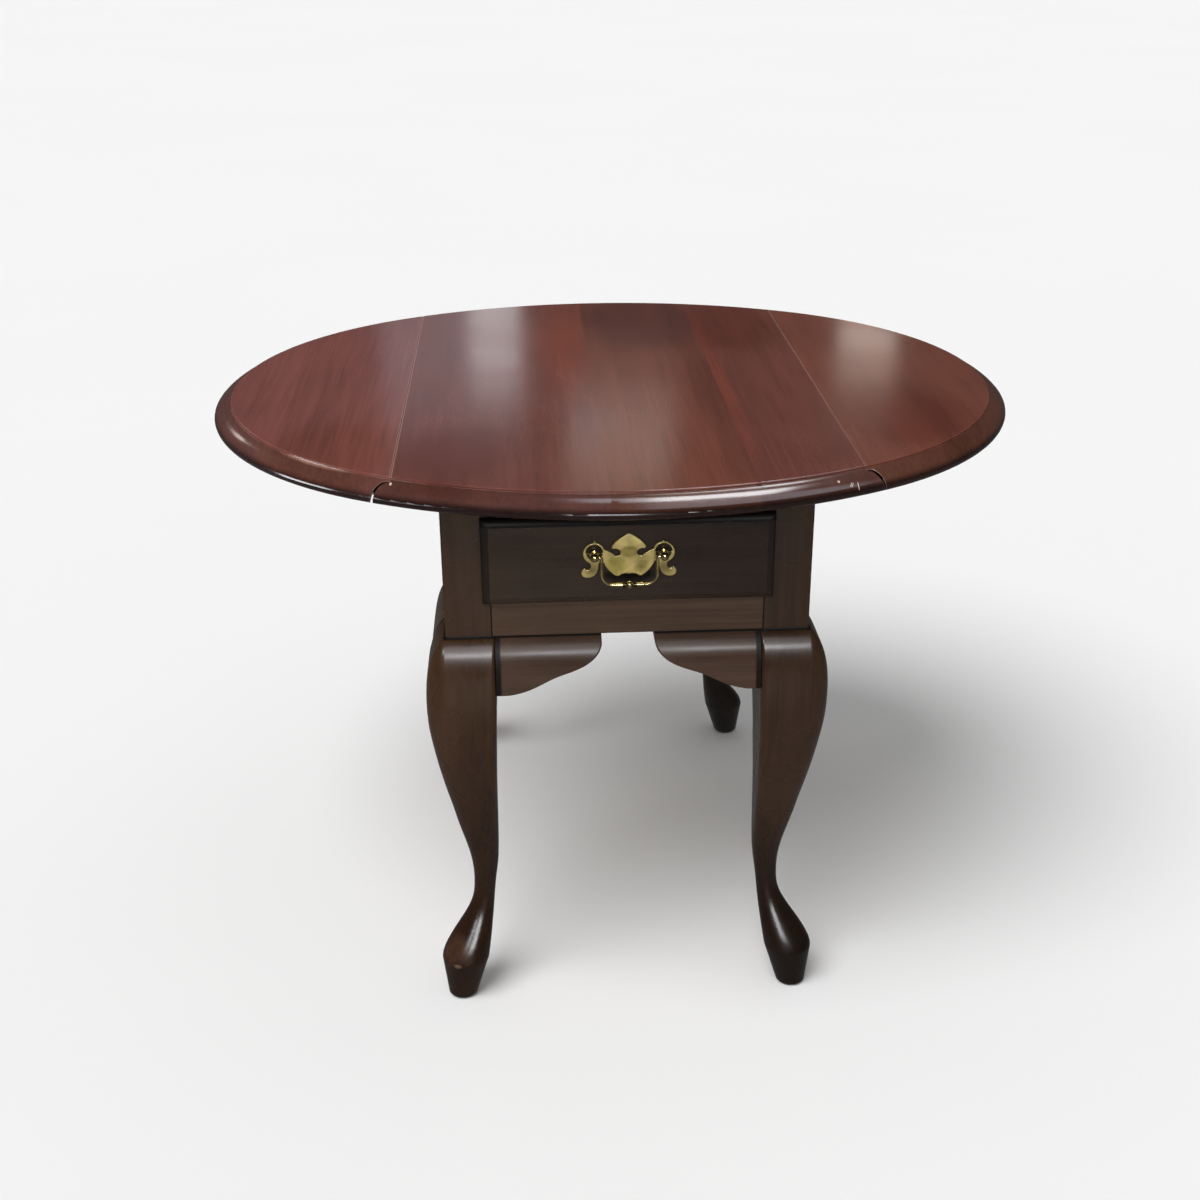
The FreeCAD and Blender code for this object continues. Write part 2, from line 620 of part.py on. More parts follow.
def build_case():
    """Rails, aprons, side layers, and what carries the drawer."""
    bottom_tenon, top_tenon = front_tenons()
    front = -CASE_Y + RAIL_SETBACK
    bottom = box(-INNER_X, INNER_X, front, RAIL_BACK, KNEE_Z, RUNNER_Z)
    top = box(-INNER_X, INNER_X, front, RAIL_BACK, OPENING_Z, UNDERSIDE)
    back = box(-INNER_X, INNER_X, BACK_IN, BACK_IN + BACK_THICKNESS, KNEE_Z, UNDERSIDE)
    apron = box(APRON_IN, FLY_IN, -INNER_Y, INNER_Y, KNEE_Z, UNDERSIDE)
    apron = fuse([apron, side_tenon(), flip_y(side_tenon())])
    keep("rail_front_bottom", fuse([bottom, bottom_tenon, flip_x(bottom_tenon)]))
    keep("rail_front_top", fuse([top, top_tenon, flip_x(top_tenon)]))
    keep("apron_back", fuse([back, back_tenon(), flip_x(back_tenon())]))
    facing = box(FLY_IN, FLY_OUT, -INNER_Y, INNER_Y, KNEE_Z, FLY_Z)
    runner_in = INNER_X - RUNNER_WIDTH
    runner = box(runner_in, INNER_X, RAIL_BACK, BACK_IN, RUNNER_Z - RUNNER_HEIGHT, RUNNER_Z)
    guide = box(INNER_X, APRON_IN, -INNER_Y, INNER_Y, RUNNER_Z - RUNNER_HEIGHT, RUNNER_Z + GUIDE_RISE)
    kicker = box(runner_in, INNER_X, RAIL_BACK, BACK_IN, OPENING_Z, UNDERSIDE)
    for hole in top_screws()[0]:
        kicker = kicker.cut(hole)
    for name, piece in (("apron", apron), ("side_facing", facing), ("runner", runner), ("guide", guide),
                        ("kicker", kicker)):
        keep(name + "_right", piece)
        keep(name + "_left", flip_x(piece))


def fly_levels():
    """Bottom and top of each finger of the fly bracket's wooden hinge."""
    top = UNDERSIDE - FLY_GAP
    step = (top - FLY_Z) / FLY_FINGERS
    return [(FLY_Z + step * index, FLY_Z + step * (index + 1)) for index in range(FLY_FINGERS)]


def fly_slot(low, high, toward):
    """Room for one finger: round inside, square on the outer half so that the bracket can turn out."""
    room = FLY_RADIUS + FLY_FINGER_GAP
    low = low - FLY_FINGER_GAP
    height = high + FLY_FINGER_GAP - low
    bore = Part.makeCylinder(room, height, V(FLY_AXIS_X, FLY_PIVOT_Y, low), UP)
    near = FLY_PIVOT_Y + toward * room
    far = FLY_PIVOT_Y - toward * room
    square = box(FLY_AXIS_X, FLY_OUT + room, min(near, far), max(near, far), low, low + height)
    return bore.fuse(square)


def fly_outline():
    """Side outline of the fly bracket, with its cyma lower edge toward the tip."""
    top = UNDERSIDE - FLY_GAP
    low = FLY_Z + FLY_NOTCH_GAP
    tip = FLY_PIVOT_Y + FLY_LENGTH
    tip_low = top - FLY_TIP_HEIGHT
    x = FLY_AXIS_X - FLY_RADIUS
    start = V(x, FLY_PIVOT_Y, low)
    belly = V(x, FLY_PIVOT_Y + FLY_LENGTH * 0.35, low)
    middle = V(x, FLY_PIVOT_Y + FLY_LENGTH * 0.68, (low + tip_low) / 2)
    rise = (tip_low - low) / 4
    curve = smooth([belly, V(x, FLY_PIVOT_Y + FLY_LENGTH * 0.54, low + rise * 0.6), middle,
                    V(x, FLY_PIVOT_Y + FLY_LENGTH * 0.82, tip_low - rise * 0.6), V(x, tip, tip_low)])
    return face_of([line(start, belly), curve, line(V(x, tip, tip_low), V(x, tip, top)),
                    line(V(x, tip, top), V(x, FLY_PIVOT_Y, top)), line(V(x, FLY_PIVOT_Y, top), start)])


def build_fly():
    """Fixed fly rail ends, swinging brackets and their pins."""
    top = UNDERSIDE - FLY_GAP
    axis_low = V(FLY_AXIS_X, FLY_PIVOT_Y, FLY_Z)
    hole = Part.makeCylinder(FLY_PIN_RADIUS + PIN_FIT, FLY_HEIGHT, axis_low, UP)
    pin = Part.makeCylinder(FLY_PIN_RADIUS, top - FLY_Z, axis_low, UP)
    block = box(FLY_IN, FLY_OUT, -INNER_Y, FLY_PIVOT_Y, FLY_Z, UNDERSIDE)
    block = fuse([block, Part.makeCylinder(FLY_RADIUS, FLY_HEIGHT, axis_low, UP)]).cut(hole)
    low = FLY_Z + FLY_NOTCH_GAP
    arm = fly_outline().extrude(V(2 * FLY_RADIUS, 0, 0))
    round_end = Part.makeCylinder(FLY_RADIUS, top - low, V(FLY_AXIS_X, FLY_PIVOT_Y, low), UP)
    arm = fuse([arm, round_end]).cut(hole)
    for index, (low, high) in enumerate(fly_levels()):
        if index % 2:
            block = block.cut(fly_slot(low, high, 1))
        else:
            arm = arm.cut(fly_slot(low, high, -1))
    end = box(FLY_IN, FLY_OUT, FLY_PIVOT_Y + FLY_LENGTH + FLY_NOTCH_GAP, INNER_Y, FLY_Z, UNDERSIDE)
    for name, piece in (("fly_block", block), ("fly_bracket", arm), ("fly_end", end)):
        keep(name + "_right", piece)
        keep(name + "_left", flip_x(piece))
    keep("fly_pins", pin, flip_x(pin))


def lip_waste(length):
    """Thumbnail waste along +Z: u inward along +X from the lip's edge, depth along +Y from the face."""
    step_top = V(LIP_WIDTH, -LIP_FALL, 0)
    step_low = V(LIP_WIDTH, LIP_STEP, 0)
    edge = V(0, LIP_FALL, 0)
    swell = V(LIP_WIDTH * 0.32, LIP_STEP + (LIP_FALL - LIP_STEP) * 0.34, 0)
    out = V(-LIP_WIDTH, LIP_FALL, 0)
    out_top = V(-LIP_WIDTH, -LIP_FALL, 0)
    section = face_of([line(step_top, step_low), arc(step_low, swell, edge), line(edge, out),
                       line(out, out_top), line(out_top, step_top)])
    return section.extrude(V(0, 0, length))


def drawer_front():
    """Lipped front with its thumbnail edge all round."""
    lip_x = INNER_X + LIP_WIDTH
    lip_top = OPENING_Z + LIP_WIDTH
    lip_low = RUNNER_Z - LIP_LOW
    lip = box(-lip_x, lip_x, DRAWER_FACE, -CASE_Y - LIP_GAP, lip_low, lip_top)
    plug = box(-DRAWER_X, DRAWER_X, -CASE_Y - LIP_GAP, DRAWER_BACK_FACE, DRAWER_Z, OPENING_Z - DRAWER_GAP)
    front = fuse([lip, plug])
    left = lip_waste(ALL)
    left.translate(V(-lip_x, DRAWER_FACE, 0))
    top = lip_waste(ALL)
    top.rotate(ORIGIN, ALONG_Y, 90)
    bottom = top.mirror(ORIGIN, UP)
    top.translate(V(-ALL / 2, DRAWER_FACE, lip_top))
    bottom.translate(V(-ALL / 2, DRAWER_FACE, lip_low))
    return front.cut(left).cut(flip_x(left)).cut(top).cut(bottom)


def pull_outline():
    """Right half of the bat-wing plate about the post line, as arcs drawn for PLATE_SPACING."""
    arcs = [((0, 19.2), (8.5, 14.9), (15.2, 7.9)), ((15.2, 7.9), (15.7, 5.5), (13.8, 4.3)),
            ((13.8, 4.3), (10.6, 4.1), (8.2, 2.5)), ((8.2, 2.5), (8.6, -1.5), (12.2, -2.5)),
            ((12.2, -2.5), (17.0, 1.3), (22.3, 3.7)), ((22.3, 3.7), (24.2, 7.7), (28.6, 10.1)),
            ((28.6, 10.1), (30.2, 11.3), (31.2, 13.1)), ((31.2, 13.1), (32.2, 11.3), (33.8, 10.1)),
            ((33.8, 10.1), (42.0, 1.7), (37.4, -8.3)), ((37.4, -8.3), (35.2, -11.5), (36.6, -14.7)),
            ((36.6, -14.7), (38.4, -15.5), (40.4, -14.1)), ((40.4, -14.1), (43.8, -17.9), (41.2, -22.9)),
            ((41.2, -22.9), (33.6, -22.7), (28.6, -16.5)), ((28.6, -16.5), (27.6, -13.3), (27.2, -9.9)),
            ((27.2, -9.9), (25.4, -8.3), (23.2, -9.3)), ((23.2, -9.3), (19.2, -15.9), (13.6, -21.1)),
            ((13.6, -21.1), (10.6, -22.6), (7.6, -21.2)), ((7.6, -21.2), (4.0, -20.1), (0, -20.5))]
    stretch = PULL_SPACING / PLATE_SPACING
    edges = [arc(*[V(x * stretch, DRAWER_FACE, PULL_Z + z) for x, z in points]) for points in arcs]
    edges.append(line(edges[-1].Vertexes[-1].Point, edges[0].Vertexes[0].Point))
    return face_of(edges)


def pull_piercing():
    """Half-moon cut through the plate above the right post."""
    radius = PIERCING_RADIUS
    chord = POST_BASE_RADIUS * 0.3
    middle = V(PULL_X, DRAWER_FACE, PULL_Z + chord)
    left = middle - V(radius, 0, 0)
    right = middle + V(radius, 0, 0)
    moon = face_of([arc(left, middle + V(0, 0, radius), right), line(right, left)])
    return moon.extrude(V(0, -ALL / 2, 0))


def ball(radius, centre):
    """Sphere with its poles on a line along X."""
    sphere = Part.makeSphere(radius)
    sphere.rotate(ORIGIN, ALONG_Y, 90)
    sphere.translate(centre)
    return sphere


def pull_post():
    """Right post of the pull: bolt, base, stem and head, bored for the bail."""
    outward = V(0, -1, 0)
    plate_front = DRAWER_FACE - PLATE_THICKNESS
    spot = V(PULL_X, plate_front, PULL_Z)
    base = Part.makeCylinder(POST_BASE_RADIUS, POST_BASE_THICKNESS, spot, outward)
    stem = Part.makeCylinder(POST_STEM_RADIUS, plate_front - PIVOT_Y, spot, outward)
    head = ball(POST_HEAD_RADIUS, V(PULL_X, PIVOT_Y, PULL_Z))
    bolt = pull_bolt()
    bore = Part.makeCylinder(BAIL_RADIUS + PIN_FIT, ALL, V(0, PIVOT_Y, PULL_Z), ALONG_X)
    return fuse([base, stem, head, bolt]).cut(bore)


def pull_bolt():
    """Bolt of the right post, from the plate's front through the drawer front."""
    start = V(PULL_X, DRAWER_FACE - PLATE_THICKNESS, PULL_Z)
    return Part.makeCylinder(BOLT_RADIUS, DRAWER_BACK_FACE + BOLT_TAIL - start.y, start, ALONG_Y)


def pull_nut():
    """Hexagon nut on the right bolt, inside the drawer."""
    corners = [V(PULL_X + NUT_SIDE * math.cos(math.radians(60 * k)), DRAWER_BACK_FACE,
                 PULL_Z + NUT_SIDE * math.sin(math.radians(60 * k))) for k in range(6)]
    return polygon(corners).extrude(V(0, NUT_THICKNESS, 0)).cut(pull_bolt())


def bail_path():
    """Right half of the bail's centre line, from its pivot end to the middle of the bar."""
    def spot(x, z):
        return V(x, PIVOT_Y, PULL_Z + z)

    cut = 1 - math.sqrt(0.5)
    side = PULL_X - BAIL_INSET
    elbow = BAIL_ELBOW
    corner = BAIL_CORNER
    low = -BAIL_DROP
    return [line(spot(side + BAIL_PIVOT_REACH, 0), spot(side + elbow, 0)),
            arc(spot(side + elbow, 0), spot(side + elbow * cut, -elbow * cut), spot(side, -elbow)),
            line(spot(side, -elbow), spot(side, low + corner)),
            arc(spot(side, low + corner), spot(side - corner * cut, low + corner * cut),
                spot(side - corner, low)),
            line(spot(side - corner, low), spot(0, low))]


def bail():
    """Bent rod with a thicker bar, a bead and two collars at the middle."""
    path = bail_path()
    ring = Part.Wire(Part.makeCircle(BAIL_RADIUS, path[0].Vertexes[0].Point, ALONG_X))
    rod = Part.Wire(path).makePipeShell([ring], True, False)
    low = V(0, PIVOT_Y, PULL_Z - BAIL_DROP)
    bar = Part.makeCylinder(BAIL_BAR_RADIUS, BAIL_BAR_HALF, low, ALONG_X)
    collar = Part.makeCylinder(COLLAR_RADIUS, COLLAR_LENGTH, low + V(COLLAR_OFFSET, 0, 0), ALONG_X)
    half = fuse([rod, bar, collar])
    bead = ball(BEAD_RADIUS, low)
    return fuse([half, flip_x(half), bead])


def build_pull():
    """Plate, posts, nuts and bail of the drawer pull."""
    half = pull_outline().extrude(V(0, -PLATE_THICKNESS, 0))
    half = half.cut(pull_piercing()).cut(pull_bolt())
    keep("handle_plate", fuse([half, flip_x(half)]))
    keep("handle_posts", pull_post(), flip_x(pull_post()))
    keep("handle_nuts", pull_nut(), flip_x(pull_nut()))
    keep("bail", bail())


def build_drawer():
    """Front, sides, back and bottom, lapped and grooved together."""
    back_end = BACK_IN - DRAWER_BACK_GAP
    inner_x = DRAWER_X - DRAWER_SIDE_THICKNESS
    groove_x = inner_x + GROOVE_DEPTH
    side_top = OPENING_Z - DRAWER_SIDE_GAP
    side = box(inner_x, DRAWER_X, DRAWER_BACK_FACE - DRAWER_LAP, back_end, DRAWER_Z, side_top)
    low = DRAWER_Z + DRAWER_BOTTOM_RISE
    high = low + DRAWER_BOTTOM_THICKNESS
    floor = box(-groove_x, groove_x, DRAWER_BACK_FACE - GROOVE_DEPTH, back_end, low, high)
    back = box(-inner_x, inner_x, back_end - DRAWER_BACK_THICKNESS, back_end, high, side_top)
    front = drawer_front().cut(side).cut(flip_x(side)).cut(floor)
    front = front.cut(pull_bolt()).cut(flip_x(pull_bolt()))
    side = side.cut(floor)
    screws = []
    for x in (-DRAWER_SCREW_X, DRAWER_SCREW_X):
        spot = V(x, back_end - DRAWER_BACK_THICKNESS / 2, low)
        hole, screw = screw_at(spot, DRAWER_SCREW_LENGTH)
        floor = floor.cut(hole)
        back = back.cut(hole)
        screws.append(screw)
    keep("drawer_front", front)
    keep("drawer_side_right", side)
    keep("drawer_side_left", flip_x(side))
    keep("drawer_back", back)
    keep("drawer_bottom", floor)
    keep("drawer_screws", *screws)


def main():
    """Build every piece and write one file for each."""
    build_top()
    build_legs()
    build_case()
    build_fly()
    build_drawer()
    build_pull()
    os.makedirs("parts", exist_ok=True)
    for name, solids in PARTS.items():
        shape = solids[0] if len(solids) == 1 else Part.makeCompound(solids)
        shape.exportStep("parts/%s.step" % name)
        print(name, len(solids), round(shape.Volume, 1), shape.isValid())


main()
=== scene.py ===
import logging
import math
from dataclasses import dataclass, field, replace
from enum import Enum
from typing import Iterable

import bmesh
import bpy
from mathutils import Matrix, Vector


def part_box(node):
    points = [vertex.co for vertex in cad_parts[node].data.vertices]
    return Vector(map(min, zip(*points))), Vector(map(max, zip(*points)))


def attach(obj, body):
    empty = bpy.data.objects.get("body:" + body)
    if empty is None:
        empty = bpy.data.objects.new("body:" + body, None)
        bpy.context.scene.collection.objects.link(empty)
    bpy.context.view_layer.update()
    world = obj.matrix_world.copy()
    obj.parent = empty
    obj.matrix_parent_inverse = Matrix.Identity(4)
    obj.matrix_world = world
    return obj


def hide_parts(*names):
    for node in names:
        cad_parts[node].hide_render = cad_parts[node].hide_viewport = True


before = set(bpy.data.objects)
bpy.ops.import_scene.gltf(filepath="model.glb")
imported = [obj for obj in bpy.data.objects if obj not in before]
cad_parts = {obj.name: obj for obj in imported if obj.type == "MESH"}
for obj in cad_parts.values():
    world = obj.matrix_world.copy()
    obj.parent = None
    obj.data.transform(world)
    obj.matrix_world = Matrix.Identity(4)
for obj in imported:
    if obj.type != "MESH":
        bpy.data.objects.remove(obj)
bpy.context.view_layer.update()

log = logging.getLogger("pembroke_table")

Colour = tuple[float, float, float]
Place = tuple[float, float, float]
Socket = bpy.types.NodeSocket
Outputs = bpy.types.NodeOutputs
Value = float | Socket
Range = tuple[float, float]
MM = 0.001
SEED_SHARES = (1.0, 1.7, 0.6)
X_AXIS = (1.0, 0.0, 0.0)
Y_AXIS = (0.0, 1.0, 0.0)
Z_AXIS = (0.0, 0.0, 1.0)


class Grain(Enum):
    """Which way the grain of a piece runs: turns that bring its length onto X."""

    ALONG_X = (0.0, 0.0, 0.0)
    ALONG_Y = (0.0, 0.0, -math.pi / 2)
    ALONG_Z = (0.0, math.pi / 2, 0.0)


class Reach(Enum):
    """What a light acts on."""

    SURFACES = "surfaces"
    GLOSS = "gloss"


class Graph:
    """Short way to add and join nodes in one node tree."""

    def __init__(self, tree: bpy.types.NodeTree) -> None:
        """Keep the tree that the nodes go into.

        Args:
            tree: node tree of a material, a group or the world.
        """
        self.tree = tree

    def put(self, node: bpy.types.Node, key: str | int, value: object) -> None:
        """Join a socket to an input, or set the input's constant.

        Args:
            node: the node that takes it.
            key: name or number of its input.
            value: socket, number or colour.
        """
        if isinstance(value, Socket):
            self.tree.links.new(value, node.inputs[key])
        elif node.inputs[key].type == "RGBA" and len(value) == 3:
            node.inputs[key].default_value = (*value, 1.0)
        else:
            node.inputs[key].default_value = value

    def add(self, kind: str, values: dict | None = None, **settings: object) -> bpy.types.Node:
        """Add one node.

        Args:
            kind: the node's type name.
            values: constants or sockets for its inputs, by name or number.
            settings: properties of the node itself.

        Returns:
            The new node.
        """
        node = self.tree.nodes.new(kind)
        for name, value in settings.items():
            setattr(node, name, value)
        for key, value in (values or {}).items():
            self.put(node, key, value)
        return node

    def math(self, operation: str, first: Value, second: Value = 0.0) -> Socket:
        """Sum, product or other function of two values.

        Args:
            operation: name of the function.
            first: socket or number.
            second: socket or number.

        Returns:
            The result's socket.
        """
        values = {0: first, 1: second}
        return self.add("ShaderNodeMath", values, operation=operation).outputs[0]

    def vector(self, operation: str, values: dict, output: str = "Vector") -> Socket:
        """Function of vectors.

        Args:
            operation: name of the function.
            values: constants or sockets for its inputs.
            output: name of the result.

        Returns:
            The result's socket.
        """
        return self.add("ShaderNodeVectorMath", values, operation=operation).outputs[output]

    def blend(self, share: Value, first: Socket | Colour, second: Socket | Colour,
              kind: str = "MIX") -> Socket:
        """Mix of two colours.

        Args:
            share: socket or number, how much of the second colour.
            first: socket or colour.
            second: socket or colour.
            kind: way of mixing.

        Returns:
            The mixed colour's socket.
        """
        values = {0: share, 6: first, 7: second}
        return self.add("ShaderNodeMix", values, data_type="RGBA", blend_type=kind).outputs[2]

    def remap(self, value: Socket, low: Value, high: Value, to_low: float, to_high: float) -> Socket:
        """Stretch one range of values smoothly onto another.

        Args:
            value: socket to stretch.
            low: start of its range.
            high: end of its range.
            to_low: result at the start.
            to_high: result at the end.

        Returns:
            The stretched value's socket.
        """
        values = {"Value": value, "From Min": low, "From Max": high, "To Min": to_low, "To Max": to_high}
        return self.add("ShaderNodeMapRange", values, interpolation_type="SMOOTHSTEP").outputs[0]

    def noise(self, place: Socket, scale: float, detail: float = 2.0, bend: float = 0.0) -> Socket:
        """Soft random value over space.

        Args:
            place: socket with the place.
            scale: cells to a unit.
            detail: finer layers.
            bend: distortion of the place.

        Returns:
            The value's socket, between 0 and 1.
        """
        values = {"Vector": place, "Scale": scale, "Detail": detail, "Distortion": bend}
        return self.add("ShaderNodeTexNoise", values).outputs[0]

    def stretch(self, place: Socket, along: float, across: float) -> Socket:
        """Scale a place differently along and across the grain.

        Args:
            place: socket with the place, grain on X.
            along: factor on X.
            across: factor on Y and Z.

        Returns:
            The scaled place's socket.
        """
        return self.vector("MULTIPLY", {0: place, 1: (along, across, across)})


class Group:
    """Base of the shared effects, each a node group that is built once."""

    name = "group"
    inputs: tuple[tuple[str, str, object], ...] = ()
    outputs: tuple[tuple[str, str], ...] = ()

    @classmethod
    def tree(cls) -> bpy.types.NodeTree:
        """Find the group, or build it the first time.

        Returns:
            The group's node tree.
        """
        found = bpy.data.node_groups.get(cls.name)
        if found:
            return found
        tree = bpy.data.node_groups.new(cls.name, "ShaderNodeTree")
        for label, kind, value in cls.inputs:
            socket = tree.interface.new_socket(label, in_out="INPUT", socket_type=kind)
            if value is not None:
                socket.default_value = value
        for label, kind in cls.outputs:
            tree.interface.new_socket(label, in_out="OUTPUT", socket_type=kind)
        graph = Graph(tree)
        given = graph.add("NodeGroupInput")
        result = graph.add("NodeGroupOutput")
        for label, socket in cls.fill(graph, given.outputs).items():
            tree.links.new(socket, result.inputs[label])
        return tree

    @classmethod
    def fill(cls, graph: Graph, given: Outputs) -> dict[str, Socket]:
        """Build the group's own nodes.

        Args:
            graph: helper on the group's tree.
            given: the group's inputs.

        Returns:
            What feeds each output, by name.
        """
        raise NotImplementedError

    @classmethod
    def use(cls, graph: Graph, values: dict) -> Outputs:
        """Place the group in a material.

        Args:
            graph: helper on the material's tree.
            values: constants or sockets for its inputs.

        Returns:
            The sockets of its outputs.
        """
        node = graph.tree.nodes.new("ShaderNodeGroup")
        node.node_tree = cls.tree()
        for label, value in values.items():
            graph.put(node, label, value)
        return node.outputs


class WoodGrain(Group):
    """Broad bands, narrower bands, fine streaks and short pores of a board."""

    name = "wood_grain"
    inputs = (("Place", "NodeSocketVector", None), ("Band Width", "NodeSocketFloat", 0.05))
    outputs = (("Figure", "NodeSocketFloat"), ("Pores", "NodeSocketFloat"), ("Height", "NodeSocketFloat"))
    band_stretch = (0.10, 1.0)
    narrow_stretch = (5.0, 85.0)
    streak_stretch = (9.0, 330.0)
    pore_stretch = (55.0, 950.0)
    weights = (0.42, 0.26, 0.32)
    pore_range = (0.60, 0.76)
    streak_height = 0.3

    @classmethod
    def fill(cls, graph: Graph, given: Outputs) -> dict[str, Socket]:
        """Layer noises from broad to fine.

        Args:
            graph: helper on the group's tree.
            given: the group's inputs.

        Returns:
            What feeds each output, by name.
        """
        place = given["Place"]
        share = graph.math("DIVIDE", 1.0, given["Band Width"])
        broad = graph.vector("SCALE", {0: graph.stretch(place, *cls.band_stretch), "Scale": share})
        bands = graph.math("MULTIPLY", graph.noise(broad, 1.0, 3.0, 0.9), cls.weights[0])
        thinner = graph.noise(graph.stretch(place, *cls.narrow_stretch), 1.0, 2.0, 0.5)
        narrow = graph.math("MULTIPLY", thinner, cls.weights[1])
        streaks = graph.noise(graph.stretch(place, *cls.streak_stretch), 1.0, 3.0)
        fine = graph.math("MULTIPLY", streaks, cls.weights[2])
        figure = graph.math("ADD", graph.math("ADD", bands, narrow), fine)
        flecks = graph.noise(graph.stretch(place, *cls.pore_stretch), 1.0, 1.0)
        pores = graph.remap(flecks, *cls.pore_range, 0.0, 1.0)
        height = graph.math("SUBTRACT", graph.math("MULTIPLY", streaks, cls.streak_height), pores)
        return {"Figure": figure, "Pores": pores, "Height": height}


class SoftEdges(Group):
    """Rounded arrises: a softened normal, and a mask of the edges that hands rub."""

    name = "soft_edges"
    inputs = (("Place", "NodeSocketVector", None), ("Rub Width", "NodeSocketFloat", 1.2 * MM))
    outputs = (("Normal", "NodeSocketVector"), ("Rubbed", "NodeSocketFloat"))
    radius = 0.7 * MM
    samples = 6
    bend_range = (0.015, 0.16)
    patch_scale = 34.0
    patch_range = (0.36, 0.66)
    least_rubbed = 0.25

    @classmethod
    def fill(cls, graph: Graph, given: Outputs) -> dict[str, Socket]:
        """Compare the surface with a rounded copy of it.

        Args:
            graph: helper on the group's tree.
            given: the group's inputs.

        Returns:
            What feeds each output, by name.
        """
        soft = graph.add("ShaderNodeBevel", {"Radius": cls.radius}, samples=cls.samples).outputs[0]
        wide = graph.add("ShaderNodeBevel", {"Radius": given["Rub Width"]}, samples=cls.samples).outputs[0]
        true = graph.add("ShaderNodeNewGeometry").outputs["Normal"]
        same = graph.vector("DOT_PRODUCT", {0: wide, 1: true}, "Value")
        edge = graph.remap(graph.math("SUBTRACT", 1.0, same), *cls.bend_range, 0.0, 1.0)
        patches = graph.noise(given["Place"], cls.patch_scale, 4.0)
        patchy = graph.remap(patches, *cls.patch_range, cls.least_rubbed, 1.0)
        return {"Normal": soft, "Rubbed": graph.math("MULTIPLY", edge, patchy)}


class HandledFilm(Group):
    """Unevenness of a handled surface."""

    name = "handled_film"
    inputs = (("Place", "NodeSocketVector", None), ("Cloud Size", "NodeSocketFloat", 0.12))
    outputs = (("Clouds", "NodeSocketFloat"),)

    @classmethod
    def fill(cls, graph: Graph, given: Outputs) -> dict[str, Socket]:
        """Slow noise for clouds.

        Args:
            graph: helper on the group's tree.
            given: the group's inputs.

        Returns:
            What feeds each output, by name.
        """
        share = graph.math("DIVIDE", 1.0, given["Cloud Size"])
        scaled = graph.vector("SCALE", {0: given["Place"], "Scale": share})
        return {"Clouds": graph.noise(scaled, 1.0, 4.0, 0.4)}


class BareSpot(Group):
    """Mask of one small knock where the finish is gone."""

    name = "bare_spot"
    inputs = (("Place", "NodeSocketVector", None), ("Centre", "NodeSocketVector", None),
              ("Extent", "NodeSocketVector", None), ("Lean", "NodeSocketFloat", 0.0))
    outputs = (("Mask", "NodeSocketFloat"),)
    ragged_scale = 900.0
    ragged_share = 0.5
    rim = (1.05, 1.35)

    @classmethod
    def fill(cls, graph: Graph, given: Outputs) -> dict[str, Socket]:
        """Ragged ellipsoid about a centre, leaning along X as it rises.

        Args:
            graph: helper on the group's tree.
            given: the group's inputs.

        Returns:
            What feeds each output, by name.
        """
        offset = graph.vector("SUBTRACT", {0: given["Place"], 1: given["Centre"]})
        rise = graph.add("ShaderNodeSeparateXYZ", {0: offset}).outputs["Z"]
        lean = graph.math("MULTIPLY", rise, given["Lean"])
        drift = graph.add("ShaderNodeCombineXYZ", {"X": lean}).outputs[0]
        upright = graph.vector("SUBTRACT", {0: offset, 1: drift})
        shares = graph.vector("DIVIDE", {0: upright, 1: given["Extent"]})
        length = graph.vector("LENGTH", {0: shares}, "Value")
        ragged = graph.math("MULTIPLY", graph.noise(given["Place"], cls.ragged_scale), cls.ragged_share)
        return {"Mask": graph.remap(graph.math("ADD", length, ragged), *cls.rim, 1.0, 0.0)}


class SoftSpot(Group):
    """Share of a patch that fades from its core to its rim."""

    name = "soft_spot"
    inputs = (("Place", "NodeSocketVector", None), ("Centre", "NodeSocketVector", None),
              ("Extent", "NodeSocketVector", None), ("Core", "NodeSocketFloat", 0.4))
    outputs = (("Share", "NodeSocketFloat"),)

    @classmethod
    def fill(cls, graph: Graph, given: Outputs) -> dict[str, Socket]:
        """Smooth ellipsoid about a centre.

        Args:
            graph: helper on the group's tree.
            given: the group's inputs.

        Returns:
            What feeds each output, by name.
        """
        offset = graph.vector("SUBTRACT", {0: given["Place"], 1: given["Centre"]})
        shares = graph.vector("DIVIDE", {0: offset, 1: given["Extent"]})
        length = graph.vector("LENGTH", {0: shares}, "Value")
        return {"Share": graph.remap(length, given["Core"], 1.0, 1.0, 0.0)}


class LowShade(Group):
    """Share that comes in below a level: for painted shade, and to keep seam wear on the top."""

    name = "low_shade"
    inputs = (("Place", "NodeSocketVector", None), ("Low", "NodeSocketFloat", 0.0),
              ("High", "NodeSocketFloat", 1.0))
    outputs = (("Share", "NodeSocketFloat"),)

    @classmethod
    def fill(cls, graph: Graph, given: Outputs) -> dict[str, Socket]:
        """Fade between two heights.

        Args:
            graph: helper on the group's tree.
            given: the group's inputs.

        Returns:
            What feeds each output, by name.
        """
        height = graph.add("ShaderNodeSeparateXYZ", {0: given["Place"]}).outputs["Z"]
        return {"Share": graph.remap(height, given["Low"], given["High"], 1.0, 0.0)}


